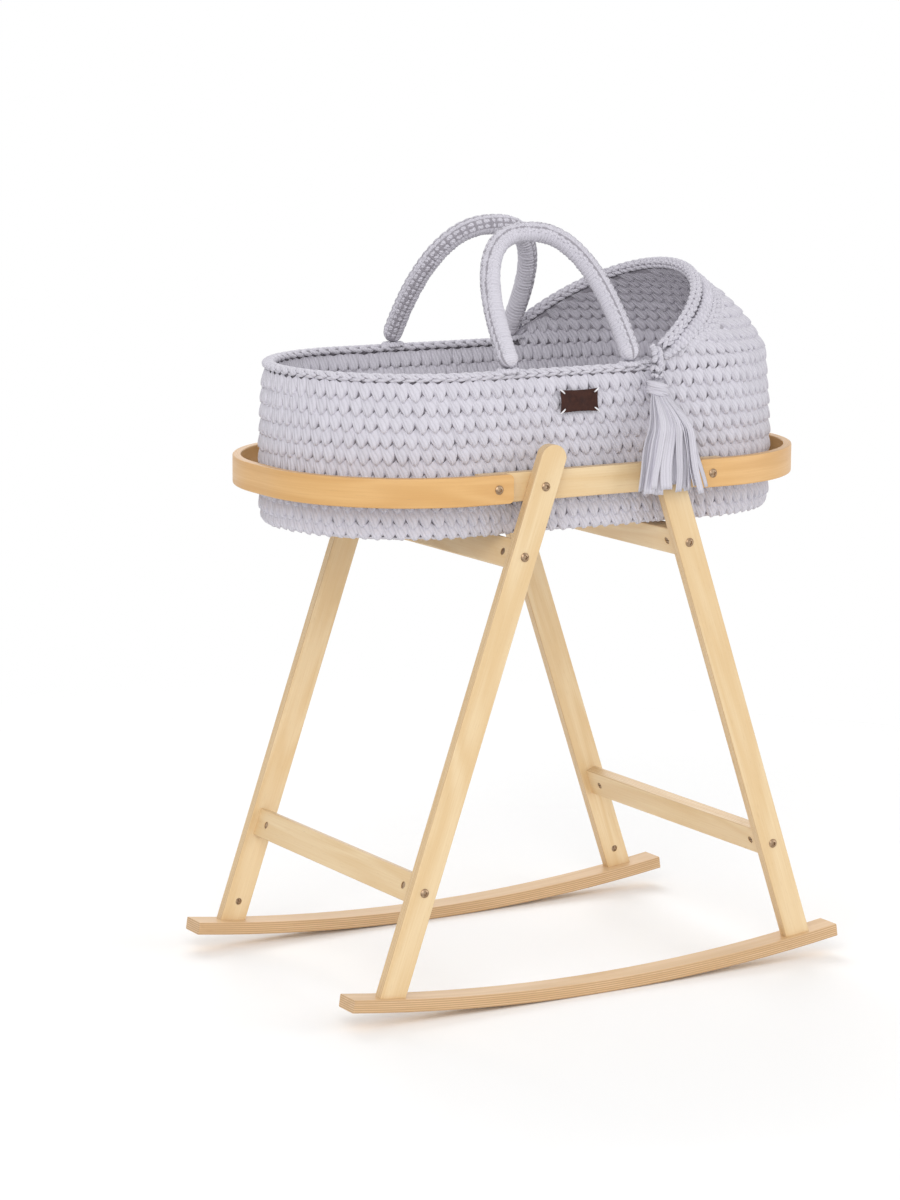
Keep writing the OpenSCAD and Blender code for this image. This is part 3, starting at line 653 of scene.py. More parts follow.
def skin_row(unit, run, shift, depth, side):
    """One row of stitches, bent over the skin: side is 1 outside and -1 inside, depth its ground."""
    radius, z = on_section(run)
    count = WALL_COUNT if z > FLOOR_Z + BASE_T else max(40, round(oval_length(radius) / STITCH))
    x, y, height = points_of(unit).T
    column = np.arange(count)[:, None]
    spread = dice.uniform(0.95, 1.05, (count, 3, 1))
    nudge = dice.uniform(-0.05, 0.05, (count, 1))
    share = (column + shift + side * x * spread[:, 0] + nudge) / count
    way = run + (y * spread[:, 1] + dice.uniform(-0.04, 0.04, (count, 1))) * ROW
    out = depth + side * PROUD * height * (2 * spread[:, 2] - 1)
    return on_skin(way, share, out, radius)


wall_rows = [skin_row(outside_stitch, row_run(row), COLUMN_SHIFT * row, -PROUD, 1)
             for row in range(int(WALL_TOP_RUN / ROW))]
wall_outside = sew("wall_outside", outside_stitch, np.concatenate(wall_rows))
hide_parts("basket_wall", "basket_base")
print("outside stitches:", copies(wall_outside, outside_stitch))

# %% [markdown]
# The inside of the wall shows the back of the same rows: rounder loops, nearly without a point.
# They go down to the underside of the mattress.

# %% Inside stitches
INSIDE_SHIFT = 0.4
mattress_low, mattress_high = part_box("mattress")
inside_count = math.ceil((RIM_LOW - mattress_low.z) / ROW)
inside_rows = [skin_row(inside_stitch, row_run(row), INSIDE_SHIFT * row, PROUD - WALL_T, -1)
               for row in range(inside_count)]
wall_inside = sew("wall_inside", inside_stitch, np.concatenate(inside_rows))
print("inside stitches:", copies(wall_inside, inside_stitch))

# %% [markdown]
# Behind the stitches lies the body of the cloth. It is one smooth sheet, halfway between the inside
# and the outside, that closes every gap. The section is a row of points, half a turn of Spin makes
# each end, and Extrude draws the straight sides between them.

# %% Cloth behind the stitches
CLOTH_T = 0.004


def only(geometry, kind):
    """What is of one kind, points or edges, in a mixed list."""
    return [part for part in geometry if isinstance(part, kind)]


def oval_sheet(name, line, end_x=None):
    """Carries a section (radius, height) round the basket's oval, and cuts it off beyond end_x."""
    bm = bmesh.new()
    points = [bm.verts.new((BASKET_X + BASKET_C, -radius, z)) for radius, z in line]
    edges = [bm.edges.new(pair) for pair in zip(points, points[1:])]
    for side in (1, -1):
        turned = bmesh.ops.spin(
            bm, geom=points + edges, cent=(BASKET_X + side * BASKET_C, 0, 0), axis=(0, 0, 1),
            angle=math.pi, steps=24)["geom_last"]
        drawn = bmesh.ops.extrude_edge_only(bm, edges=only(turned, BMEdge))["geom"]
        points = only(drawn, BMVert)
        edges = [edge for edge in only(drawn, BMEdge) if all(v in points for v in edge.verts)]
        bmesh.ops.translate(bm, verts=points, vec=(-side * 2 * BASKET_C, 0, 0))
    bmesh.ops.remove_doubles(bm, verts=bm.verts, dist=0.00005)
    bmesh.ops.recalc_face_normals(bm, faces=bm.faces)
    if end_x is not None:
        cut = bmesh.ops.bisect_plane(
            bm, geom=bm.verts[:] + bm.edges[:] + bm.faces[:], plane_co=(end_x, 0, 0),
            plane_no=(1, 0, 0), clear_outer=True)["geom_cut"]
        bmesh.ops.holes_fill(bm, edges=only(cut, BMEdge))
        bmesh.ops.recalc_face_normals(bm, faces=bm.faces)
    return mesh_of(bm, name)


def thickened(piece, thickness):
    """Gives a sheet its thickness, half of it to each side."""
    solid = piece.modifiers.new("thickness", "SOLIDIFY")
    solid.thickness, solid.offset = thickness, 0
    return piece


half_wall = WALL_T / 2
middle_line = [(max(r - half_wall, 0.0), max(z, FLOOR_Z + half_wall))
               for r, z in section if z < RIM_TOP - 0.004]
cloth_mesh = oval_sheet("basket_cloth", middle_line)
# The cloth is painted in shade: a low depth makes it nearly as dark as the gaps between the stitches
# look.
mark(cloth_mesh, "depth", np.full(len(cloth_mesh.vertices), 0.1))
thickened(add_piece("basket_cloth", cloth_mesh, stitched_yarn, "basket"), CLOTH_T)
print("cloth faces:", len(cloth_mesh.polygons))

# %% [markdown]
# ## The rim
# A chain of loops closes the top edge. Seen from the side it is a braid: two rows of leaf-shaped
# links that lean against each other, with a small dark hole wherever they meet. Rows of one link
# shape, leaning in turn to each side, are laid round the rim's section on a soft core. The core and
# the links' edges are painted in shade, which darkens those holes.

# %% Rim
RIM_R = wall_radius(RIM_TOP) - WALL_T / 2
RIM_ROUND = (RIM_TOP - RIM_LOW) / 2
RIM_FLAT = (rim_high.y - rim_low.y) / 2 - RIM_R - RIM_ROUND
LINK_PROUD = 0.004
RIM_LINK = (STITCH * 1.5, 0.0125, LINK_PROUD)  # length, width and thickness of a link
RIM_ROWS = (  # degrees round the rim, lean, first place
    (-38, 24, 0), (38, -24, 0), (112, 24, 0.5), (186, -24, 0.5))


def jitter(amount):
    """A number near 1, for loops that are never quite alike."""
    return 1 + dice.uniform(-amount, amount)


def links_on(tube, radius, length, count, rows, size):
    """Points of chain links bent over a tube, in rows of (degrees, lean, first place).

    tube(share, degrees) gives a point of the middle line and the way out of it."""
    points = []
    for degrees, lean, first in rows:
        slope = math.tan(math.radians(lean))
        for i in range(count):
            wide, tall = size[0] * jitter(0.05), size[1] * jitter(0.06)
            proud = size[2] * jitter(0.1)
            link = []
            for x, y, z in points_of(chain_link):
                share = (i + first) / count + x * wide / length
                aside = y * tall + x * wide * slope
                place, out = tube(share, degrees + math.degrees(aside / radius))
                link.append(place + out * (radius + proud * (float(z) - 1)))
            points.append(link)
    return np.array(points)


def rim_tube(share, degrees):
    """Middle of the rim at a share of the way round, and the way out of it at an angle."""
    spot = Vector((*map(float, round_oval(share, RIM_R, RIM_R)), 0))
    out = Vector((*map(float, round_oval(share, RIM_R + 1, RIM_R)), 0)) - spot
    turn = math.radians(degrees)
    spot = spot + Vector((BASKET_X, 0, RIM_TOP - RIM_ROUND)) + out * RIM_FLAT * math.cos(turn)
    return spot, out * math.cos(turn) + Vector((0, 0, math.sin(turn)))


rim_length = oval_length(RIM_R)
rim_count = round(rim_length / STITCH)
rim_links = links_on(rim_tube, RIM_ROUND, rim_length, rim_count, RIM_ROWS, RIM_LINK)
rim_links = rim_links[rim_links[:, :, 0].max(axis=1) < HOOD_FOOT + BASKET_X + 0.004]
basket_rim = sew("basket_rim_chain", chain_link, rim_links, lowest=0.5)
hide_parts("basket_rim")
core_r = RIM_ROUND - LINK_PROUD * 0.7
core_line = [(RIM_R + RIM_FLAT * math.copysign(1, math.cos(a)) + core_r * math.cos(a),
              RIM_TOP - RIM_ROUND + core_r * math.sin(a))
             for a in np.radians(np.arange(0, 361, 20) + 10)]
core_mesh = oval_sheet("rim_core", core_line, HOOD_FOOT + BASKET_X)
# Painted shade: the core gets a low depth, so it shows dark through the holes between the links.
mark(core_mesh, "depth", np.full(len(core_mesh.vertices), 0.2))
add_piece("rim_core", core_mesh, stitched_yarn, "basket")
print("rim links:", copies(basket_rim, chain_link))

# %% [markdown]
# ## The hood
# The hood grows out of the wall at the head end and leans forwards to a round front edge. Its
# surface runs between two lines, the top of the wall and the front arch, with a slight swell
# between them. Its lower rows go on level from the wall, and they end where the ridges along the
# front edge begin.

# %% Hood surface
HOOD_BACK, HOOD_RISE = 0.158, 0.112  # how far the middle of the front arch lies back, and up
HOOD_T = 0.014
HOOD_FOOT_ANGLE = math.radians(7)    # what the arch leaves out at each end of a half turn
HOOD_SWELL, HOOD_SIDE = 0.012, 0.4   # how far the hood swells, and how much of that sideways
HOOD_LEAN = math.atan(HOOD_RISE / HOOD_BACK)
TOP_R = wall_radius(RIM_TOP)
HOOD_RUN = BASKET_C - HOOD_FOOT
HOOD_PATH = 2 * HOOD_RUN + math.pi * TOP_R


def wall_top(t, radius):
    """The top line of the wall at a share of the way round the hood's foot."""
    run = t * HOOD_PATH
    turn = (run - HOOD_RUN) / TOP_R
    if run < HOOD_RUN:
        return Vector((HOOD_FOOT + run, -radius, 0))
    if turn < math.pi:
        return Vector((BASKET_C + radius * math.sin(turn), -radius * math.cos(turn), 0))
    return Vector((HOOD_FOOT + HOOD_PATH - run, radius, 0))


def front_arch(t, inset):
    """The hood's front edge at a share of the way over it."""
    a = HOOD_FOOT_ANGLE + t * (math.pi - 2 * HOOD_FOOT_ANGLE)
    return Vector((
        HOOD_FOOT + (HOOD_BACK - inset * math.cos(HOOD_LEAN)) * math.sin(a),
        -(TOP_R - inset) * math.cos(a),
        (HOOD_RISE - inset * math.sin(HOOD_LEAN)) * math.sin(a)))


HOOD_PLACE = Vector((BASKET_X, 0, RIM_TOP))


def hood_point(t, s, inset):
    """A point of the hood: t goes round it, s from the wall to the front edge, inset into it."""
    low, high = wall_top(t, TOP_R - inset), front_arch(t, inset)
    if s < 0:  # below the hood's foot the wall goes straight down
        return HOOD_PLACE + low + Vector((0, 0, s * float(np.interp(t, HOOD_STEPS, HOOD_LENGTHS))))
    top = math.sin(math.pi * t)
    out = Vector((
        math.sin(HOOD_LEAN) * top, -HOOD_SIDE * math.cos(math.pi * t), math.cos(HOOD_LEAN) * top))
    return HOOD_PLACE + low.lerp(high, s) + 4 * s * (1 - s) * HOOD_SWELL * out


def steps_of(points):
    """Distances between neighbours in a line of points."""
    return [(b - a).length for a, b in zip(points, points[1:])]


def hood_length(t):
    """Way over the hood from the wall to the front edge."""
    return sum(steps_of([hood_point(t, k / 8, 0) for k in range(9)]))


HOOD_STEPS = [k / 240 for k in range(241)]
HOOD_LENGTHS = [hood_length(t) for t in HOOD_STEPS]
print("hood: over its top", round(max(HOOD_LENGTHS), 3), "m, foot", round(HOOD_LENGTHS[0], 3), "m")

# %% Rows of the hood
EDGE_WIDTH = 0.034  # strip along the front edge that the ridges cover
HOOD_PROUD, HOOD_ROW = PROUD * 0.85, ROW * 0.9  # its stitches are a little smaller than the wall's


def hood_row(share_at, pitch, first=0.5):
    """Shares t and s of evenly spaced stitches along a row; share_at gives s, or None outside it."""
    line = [(t, share_at(t, length)) for t, length in zip(HOOD_STEPS, HOOD_LENGTHS)]
    line = [(t, s) for t, s in line if s is not None]
    if len(line) < 3:
        return []
    run = np.concatenate([[0], np.cumsum(steps_of([hood_point(t, s, 0) for t, s in line]))])
    stops = np.arange(first * pitch, run[-1], pitch)
    t_line, s_line = zip(*line)
    return [(float(np.interp(d, run, t_line)), float(np.interp(d, run, s_line))) for d in stops]


def hood_skin(t, rise, inset):
    """Place and way out at a share round the hood and a distance up from its foot."""
    length = float(np.interp(t, HOOD_STEPS, HOOD_LENGTHS))
    s, reach = min(rise / length, 1), 0.01 / length
    along = hood_point(t + 0.004, s, inset) - hood_point(t - 0.004, s, inset)
    up = hood_point(t, min(s + reach, 1), inset) - hood_point(t, s - reach, inset)
    return hood_point(t, s, inset), along.cross(up).normalized()


def hood_stitches(inset, side, margin):
    """Stitches of one face of the hood, bent over it in level rows that go on from the wall's."""
    stitches = []
    first = RIM_LOW - RIM_TOP
    for row in range(math.ceil((max(HOOD_LENGTHS) - first) / HOOD_ROW)):
        rise = first + (row + 0.5) * HOOD_ROW

        def share_at(t, length):
            return rise / length if rise < length - margin * min(1, length / 0.08) else None
        for t, s in hood_row(share_at, STITCH, 0.3 + 0.2 * (row % 4)):
            ahead = hood_point(t + 0.002, s, inset) - hood_point(t - 0.002, s, inset)
            wide = side * STITCH * jitter(0.06) / (ahead.length / 0.004)
            tall, thick = HOOD_ROW * jitter(0.05), HOOD_PROUD * jitter(0.1)
            stitch = []
            for x, y, z in points_of(outside_stitch).tolist():
                place, out = hood_skin(t + x * wide, rise + y * tall, inset)
                stitch.append(place + side * out * (thick * z - HOOD_PROUD))
            stitches.append(stitch)
    return np.array(stitches)


outer_points = hood_stitches(0, 1, EDGE_WIDTH)
hood_outside = sew("hood_outside", outside_stitch, outer_points, lowest=0.05)
inner_points = hood_stitches(HOOD_T, -1, 0.006)
sew("hood_inside", outside_stitch, inner_points, lowest=0.15)
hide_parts("hood")
print("hood stitches:", len(outer_points), "outside,", len(inner_points), "inside")

# %% [markdown]
# The front edge ends in a roll, a braid like the rim. Beside it the level rows give way to ridges
# that follow the edge. The links of the roll are bent round it. A ridge's links lie nearly flat,
# so each is set down whole by a matrix, which is simpler.

# %% Roll on the front edge
BAND_R = 0.009
BAND_PITCH = 0.0125
BAND_LINK = (0.0175, 0.0094, 0.003)
BAND_ROWS = ((28, 26, 0.2), (82, -26, 0.2), (136, 26, 0.7), (190, -26, 0.7), (-26, -26, 0.7))
EDGE_NORMAL = Vector((-math.sin(HOOD_LEAN), 0, math.cos(HOOD_LEAN)))


def band_middle(t):
    """Middle of the roll at a share of the way over the hood."""
    return HOOD_PLACE + front_arch(t, HOOD_T / 2) + BAND_R * EDGE_NORMAL


def band_tube(t, degrees):
    """Middle of the roll, and the way out of it at an angle, 0 outwards from the hood."""
    step = 0.004
    along = (front_arch(t + step, HOOD_T / 2) - front_arch(t - step, HOOD_T / 2)).normalized()
    side, turn = along.cross(EDGE_NORMAL), math.radians(degrees)
    return band_middle(t), side * math.cos(turn) + EDGE_NORMAL * math.sin(turn)


band_length = sum(steps_of([band_middle(t) for t in HOOD_STEPS]))
band_count = round(band_length / BAND_PITCH)
band_links = links_on(band_tube, BAND_R, band_length, band_count, BAND_ROWS, BAND_LINK)
print("links in the roll:", len(band_links))

# %% Ridges along the front edge
def seat(place, up, out, size):
    """Matrix that sets a unit stitch at a place: size is its width, height and thickness."""
    across = up.cross(out).normalized()
    up = out.cross(across).normalized()
    turn = Matrix((across * size[0], up * size[1], out.normalized() * size[2])).transposed()
    return Matrix.Translation(place) @ turn.to_4x4()


def link_at(place, along, out, lean, size):
    """Sets a chain link at a place, turned by its lean in degrees."""
    up = Matrix.Rotation(math.radians(lean), 3, out.normalized()) @ out.cross(along)
    return seat(place - out.normalized() * size[2], up, out, size)


def placed(unit, places):
    """The points of a unit stitch at each of a list of matrices."""
    corners = np.c_[points_of(unit), np.ones(len(unit.vertices))]
    return np.array([(np.array(place) @ corners.T).T[:, :3] for place in places])


def hood_frame(t, s):
    """Place on the outside of the hood, direction round it, and the way out of it."""
    step = 0.004
    along = hood_point(min(t + step, 1), s, 0) - hood_point(max(t - step, 0), s, 0)
    up = hood_point(t, min(s + step, 1), 0) - hood_point(t, max(s - step, 0), 0)
    return hood_point(t, s, 0), along.normalized(), along.cross(up).normalized()


def edge_row(distance):
    """Share s at a distance from the front edge, drawn together where the hood is short."""
    return lambda t, length: 1 - distance * min(1, length / 0.075) / length


def ridge_places():
    """A ladder of short bars beside the edge, a chain, and a row where the level rows end."""
    places = []
    for t, s in hood_row(edge_row(0.008), 0.0088):
        place, along, out = hood_frame(t, s)
        size = (0.021 * jitter(0.05), 0.0098, 0.005 * jitter(0.1))
        places.append(seat(place - out * 0.0025, along, out, size))
    for distance, lean in ((0.0205, 20), (0.028, -20)):
        for t, s in hood_row(edge_row(distance), 0.0135):
            place, along, out = hood_frame(t, s)
            size = (0.0175 * jitter(0.05), 0.0092, 0.0038 * jitter(0.1))
            places.append(link_at(place, along, out, lean, size))
    for t, s in hood_row(edge_row(0.0355), 0.0135):
        place, along, out = hood_frame(t, s)
        size = (0.0185 * jitter(0.05), 0.0125, 0.0045)
        places.append(link_at(place - out * 0.001, along, out, 8, size))
    return places


ridge_links = placed(chain_link, ridge_places())
sew("hood_ridges", chain_link, ridge_links, lowest=0.25)
hood_edge = sew("hood_edge", chain_link, band_links, lowest=0.55)
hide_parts("hood_band")
print("links in the ridges:", len(ridge_links))

# %% [markdown]
# The hood has its own cloth behind the stitches, a grid that is bent over the same surface and
# thickened, and a soft core inside the roll. A tube is a grid as well: one side is rolled round
# until it meets the other, and the seam is merged.

# %% Cloth of the hood and tubes
def sheet_piece(name, columns, rows, shape, depth=0.1, material=None, body="basket", merge=False):
    """A bent grid as a piece of its own; depth is a number, or a formula like shape.

    For the yarn finishes depth sets the painted shade, 0 being the darkest.
    """
    depth_at = depth if callable(depth) else lambda a, h: depth
    mesh = shaped_grid(name, columns, rows, shape, depth_at)
    if merge:
        bm = bmesh.new()
        bm.from_mesh(mesh)
        bmesh.ops.remove_doubles(bm, verts=bm.verts, dist=0.00002)
        bmesh.ops.recalc_face_normals(bm, faces=bm.faces)
        bm.to_mesh(mesh)
        bm.free()
    mark(mesh, "tone", np.full(len(mesh.vertices), dice.random()))
    return add_piece(name, mesh, material or stitched_yarn, body)


CORE_STEPS = 80
CORE_R = BAND_R - 0.0025


def hood_middle(a, h):
    """The middle of the hood's thickness, from a little below its foot to the front edge."""
    return hood_point(a, 1.1 * h - 0.1, HOOD_T / 2)


def band_core(a, h):
    """A tube inside the roll, whose ends close to a point."""
    middle, out = band_tube(h, 360 * a)
    return middle + out * CORE_R * min(1, CORE_STEPS * min(h, 1 - h))


# Painted shade: the cloth and the core inside the roll get a low depth, so they are painted dark.
hood_cloth = thickened(sheet_piece("hood_cloth", 64, 18, hood_middle, 0.25), CLOTH_T)
hood_core = sheet_piece("hood_edge_core", 12, CORE_STEPS, band_core, merge=True)
print("hood cloth:", len(hood_cloth.data.polygons), "faces, core", len(hood_core.data.polygons))

# %% [markdown]
# ## The carry handles
# Each handle is a padded arch, bound tightly with yarn. A crocheted strip runs along its outer
# side: a chain on the face that looks outwards, and a ladder of short bars on the other. The
# binding is a tube with a small bulge for every turn of the yarn.

# %% Handle path
HANDLE_LEAN = math.radians(35)  # from upright, inwards over the basket
HANDLE_POWER = 2.5              # 2 would be an ellipse, and more is squarer
HANDLE_R = 0.014
BIND_BULGE = 0.0016  # how far a turn of the yarn stands out of the tube
BIND_R = HANDLE_R - BIND_BULGE
FOOT_REACH = 0.987   # share of its radius that the CAD's faceted foot reaches down
HANDLE_TURNS = 84


class Arch:
    """The middle line of one handle, measured from its CAD node."""

    def __init__(self, node_name, side):
        low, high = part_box(node_name)
        self.side = side
        self.middle_x = (low.x + high.x) / 2
        self.half = (high.x - low.x) / 2 - HANDLE_R
        self.foot_y = RIM_R
        self.foot_z = low.z + HANDLE_R * FOOT_REACH
        self.height = (high.z - HANDLE_R - self.foot_z) / math.cos(HANDLE_LEAN)
        angles = np.linspace(0, math.pi, 721)
        run = run_along(np.array([self.flat(a) for a in angles]))
        self.length, self.angles, self.run = run[-1], angles, run

    def flat(self, a):
        """Along and up in the plane of the handle, at an angle from its first foot to its last."""
        power = 2 / HANDLE_POWER
        x = math.copysign(abs(math.cos(a)) ** power, math.cos(a)) * self.half
        return -x, self.height * max(math.sin(a), 0) ** power

    def point(self, share):
        """A place of the middle line at a share of its length."""
        a = float(np.interp(share * self.length, self.run, self.angles))
        x, rise = self.flat(a)
        return Vector((self.middle_x + x, self.side * (self.foot_y - rise * math.sin(HANDLE_LEAN)),
                       self.foot_z + rise * math.cos(HANDLE_LEAN)))

    def frame(self, share):
        """Place, direction along the arch, the way out of the loop, and the way to the outer face."""
        ahead = self.point(min(share + 0.006, 1)) - self.point(max(share - 0.006, 0))
        face = Vector((0, self.side * math.cos(HANDLE_LEAN), math.sin(HANDLE_LEAN)))
        along = ahead.normalized()
        return self.point(share), along, self.side * along.cross(face), face

    def around(self, share, degrees):
        """Place, direction along, and the way out at an angle round the handle, 0 out of the loop."""
        place, along, outer, face = self.frame(share)
        turn = math.radians(degrees)
        return place, along, outer * math.cos(turn) + face * math.sin(turn)


arches = {"front_handle": Arch("front_handle", -1), "back_handle": Arch("back_handle", 1)}
for arch_name, arch in arches.items():
    print(arch_name, "length", round(float(arch.length), 3), "height", round(arch.height, 3))

# %% Handle binding and strip
CAP = 0.03  # share of the tube at each end that closes it with a round foot
STRIP_TURNS = {  # degrees round the handle at its foot end, then from its top on
    "front_handle": (28, 102), "back_handle": (22, 30)}
CHAIN_SIDE = 19     # degrees from the middle of the chain to either of its rows
LADDER_TURNS = (-52, -86)


def strip_turn(arch_name, share):
    """Where the middle of the chain lies, in degrees round the handle; it creeps round it."""
    first, last = STRIP_TURNS[arch_name]
    eased = min(max((share - 0.12) / 0.5, 0), 1)
    return first + (last - first) * eased * eased * (3 - 2 * eased)


def binding(arch_name):
    """Formulas for the tube's shape and for its painted shade: between the turns, and a painted
    shadow under the strip's chain and bars.
    """
    arch = arches[arch_name]
    bulge = [jitter(0.25) for _ in range(HANDLE_TURNS + 1)]

    def swell(a, h):
        share = min(max((h - CAP) / (1 - 2 * CAP), 0), 1)
        wound = share * HANDLE_TURNS + 0.25 * math.sin(2 * math.pi * a)
        own = bulge[min(max(int(wound), 0), HANDLE_TURNS)]
        return share, abs(math.sin(math.pi * wound)) ** 0.5 * own

    def shape(a, h):
        share, full = swell(a, h)
        place, along, out = arch.around(share, 360 * a)
        tip = max((CAP - h) / CAP, (h - 1 + CAP) / CAP, 0) * math.pi / 2
        place = place + along * math.copysign(BIND_R * math.sin(tip), h - 0.5)
        return place + (BIND_R + BIND_BULGE * full) * math.cos(tip) * out

    def depth(a, h):
        share, full = swell(a, h)
        aside = (360 * a - strip_turn(arch_name, share) + 180) % 360 - 180
        # Painted shadow under the chain and the bars, and painted shade in the grooves between the
        # turns.
        return 0.22 if abs(aside) < 9 or -104 < aside < -34 else 0.38 + 0.5 * full
    return shape, depth


def strip_links(arch_name):
    """Two rows of leaning links, with two rows of short bars beside them.

    The two handles are mirrored, so the links are laid the other way along on the front one,
    which keeps their faces turned outwards."""
    arch = arches[arch_name]

    def tube(share, degrees):
        place, _, out = arch.around(share, degrees + strip_turn(arch_name, share))
        return place, out

    def laid(above, pitch, rows, size):
        size = (arch.side * size[0], *size[1:])
        count = round(arch.length / pitch)
        return links_on(tube, HANDLE_R + above, arch.length, count, rows, size)

    chain = ((-CHAIN_SIDE, 24, 0.5), (CHAIN_SIDE, -24, 0.5))
    rungs = tuple((degrees, 0, 0.5) for degrees in LADDER_TURNS)
    return np.concatenate([
        laid(0.001, 0.0118, chain, (0.0165, 0.0092, 0.0042)),
        laid(0.0006, 0.0102, rungs, (0.0126, 0.0105, 0.004))])


BIND_GRID = (36, 7 * HANDLE_TURNS)  # squares round the handle and along it
for arch_name in arches:
    shape, depth = binding(arch_name)
    bound = sheet_piece(
        arch_name + "_binding", *BIND_GRID, shape, depth, wrapped_yarn, arch_name, merge=True)
    strip = sew(arch_name + "_strip", chain_link, strip_links(arch_name), None, arch_name, 0.38)
    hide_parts(arch_name)
    print(arch_name, "turns", HANDLE_TURNS, "strip links", copies(strip, chain_link))

# %% [markdown]
# Each foot is sewn to the rim with a ring of the same links, which stays on the basket while the
# handle swings above it. From the foot beside the hood a few more links run on to the tassel.

# %% Collars at the handles' feet
COLLAR_LINKS = 10


def collar_places(arch):
    """A ring of links round each foot, and two short rows from the last foot to the hood."""
    places = []
    up, ahead = Vector((0, 0, 1)), Vector((1, 0, 0))
    for share in (0, 1):
        foot = arch.point(share)
        for i in range(COLLAR_LINKS):
            turn = 2 * math.pi * i / COLLAR_LINKS
            round_foot = Vector((math.cos(turn), math.sin(turn), 0))
            out = (round_foot * 0.6 + up).normalized()
            spot = foot + Vector((0.0155 * round_foot.x, 0.0105 * round_foot.y, -0.0125))
            size = (0.0135 * jitter(0.08), 0.0095, 0.005)
            places.append(link_at(spot, up.cross(round_foot), out, 15, size))
    gap = HOOD_FOOT + BASKET_X - foot.x
    for i in range(6):
        side = (-1) ** i
        spot = foot + Vector((
            0.018 + (gap - 0.018) * (i // 2 + 0.5) / 3, 0.004 * side, -0.012))
        places.append(link_at(spot, ahead, up, 20 * side, (0.017, 0.009, 0.0045)))
    return places


for arch_name, arch in arches.items():
    sew(arch_name + "_collar", chain_link, placed(chain_link, collar_places(arch)), lowest=0.25)
print("collars at", 2 * len(arches), "feet")

# %% [markdown]
# ## The tassels
# A tassel hangs from a short tie at each foot of the hood. It is a bunch of jersey strips, bound
# round the top with a few turns of the same yarn. Jersey curls, so each strip is folded along its
# length, and the cut ends are uneven. Every strip is a narrow grid that starts in the binding and
# falls in its own line; all strips of a tassel together are one hanging piece.

# %% Tassel strips
knot_low, knot_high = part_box("front_tassel_knot")
KNOT_R = (knot_high.z - knot_low.z) / 2
STRIPS, STRIP_W = 14, 0.0160
NECK = 0.1  # share of a strip's length that the binding holds


class Tassel:
    """Where one tassel hangs, measured from its CAD nodes."""

    def __init__(self, word, side):
        self.word, self.side, self.body = word, side, word + "_tassel"
        knot_low, knot_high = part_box(self.body + "_knot")
        low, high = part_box(self.body)
        self.knot = (knot_low + knot_high) / 2
        self.top = self.knot - Vector((0, 0, KNOT_R))
        self.length = self.top.z - low.z
        self.spread = (high.x - low.x) / 2
        self.out = max(abs(low.y), abs(high.y)) - abs(self.knot.y)


def strip_line(tassel, share, drift, out_share, length):
    """A strip's middle line: it leaves the binding, leans out over the rail and falls straight.

    share is -1 at the side of the foot end, where a strip opens at once, and 1 where it fans out
    evenly."""
    soon = (1 - share) / 2

    def at(h):
        free = max(0, (h - NECK) / (1 - NECK))
        opened = soon * (1 - (1 - free) ** 2.5) + (1 - soon) * free ** 1.1
        lean = min(1, h / 0.45)
        x = 0.0095 * share + drift * opened + 0.0022 * math.sin(9 * h + 6 * share) * free
        y = (tassel.out - 0.004) * (lean * lean * (3 - 2 * lean)) * out_share
        return tassel.top + Vector((x, tassel.side * y, -h * length))
    return at


def strips_mesh(tassel):
    """All strips of a tassel, each with its own line, fold, turn and width."""
    bm = bmesh.new()
    tones = []
    for number in range(STRIPS):
        share = (number + 0.5) / STRIPS * 2 - 1
        drift = (share * 0.8 - 0.04) * tassel.spread + dice.uniform(-0.005, 0.005)
        out_share = 0.80 + 0.16 * ((number * 7) % 5) / 4
        line = strip_line(
            tassel, share, drift, out_share, tassel.length * dice.uniform(0.93, 1.03))
        fold, turn = dice.uniform(0.35, 0.9), dice.uniform(-0.6, 0.6)
        width = STRIP_W * jitter(0.2)

        def shape(a, h):
            a = 2 * a - 1
            opened = 0.4 + 0.6 * min(1, max(0, h - NECK) / 0.25)
            bent = fold * (1 - 0.5 * h)
            flat = a * width / 2 * math.cos(bent) * opened
            deep = abs(a) * width / 2 * math.sin(bent) * opened
            face = turn * (0.3 + h)
            side = tassel.side * (flat * math.sin(face) + deep * math.cos(face))
            return line(h) + Vector((flat * math.cos(face) - deep * math.sin(face), side, 0))
        mesh = shaped_grid("strip", 6, 22, shape)
        tones += [dice.random()] * len(mesh.vertices)
        bm.from_mesh(mesh)
        bpy.data.meshes.remove(mesh)
    mesh = mesh_of(bm, tassel.body + "_strips")
    mark(mesh, "tone", tones)
    mark(mesh, "depth", 0.47 + 0.13 * np.mod(np.array(tones) * 7, 1))
    return mesh


tassels = [Tassel("front", -1), Tassel("back", 1)]
for tassel in tassels:
    mesh = strips_mesh(tassel)
    area = sum(face.area for face in mesh.polygons)
    strips = add_piece(tassel.body + "_strips", mesh, strip_yarn, tassel.body)
    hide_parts(tassel.body)
    thickened(strips, 0.0012)
    print(tassel.word, "tassel:", STRIPS, "strips, cloth area", round(area, 4), "m2")

# %% [markdown]
# The binding is one yarn, wound tightly round the tops of the strips: a tube that is bent into a
# tilted coil. The knot above it is crocheted, so it is a small ball of links. It stays with the
# basket, and the tassel swings round its middle.

# %% Tassel binding
NECK_TURNS, NECK_R, NECK_YARN = 5, 0.0134, 0.0028  # turns, radius of a turn, radius of the yarn
NECK_STEP, NECK_TILT = 0.0035, 0.22  # how far each turn falls, and how far all of them tilt


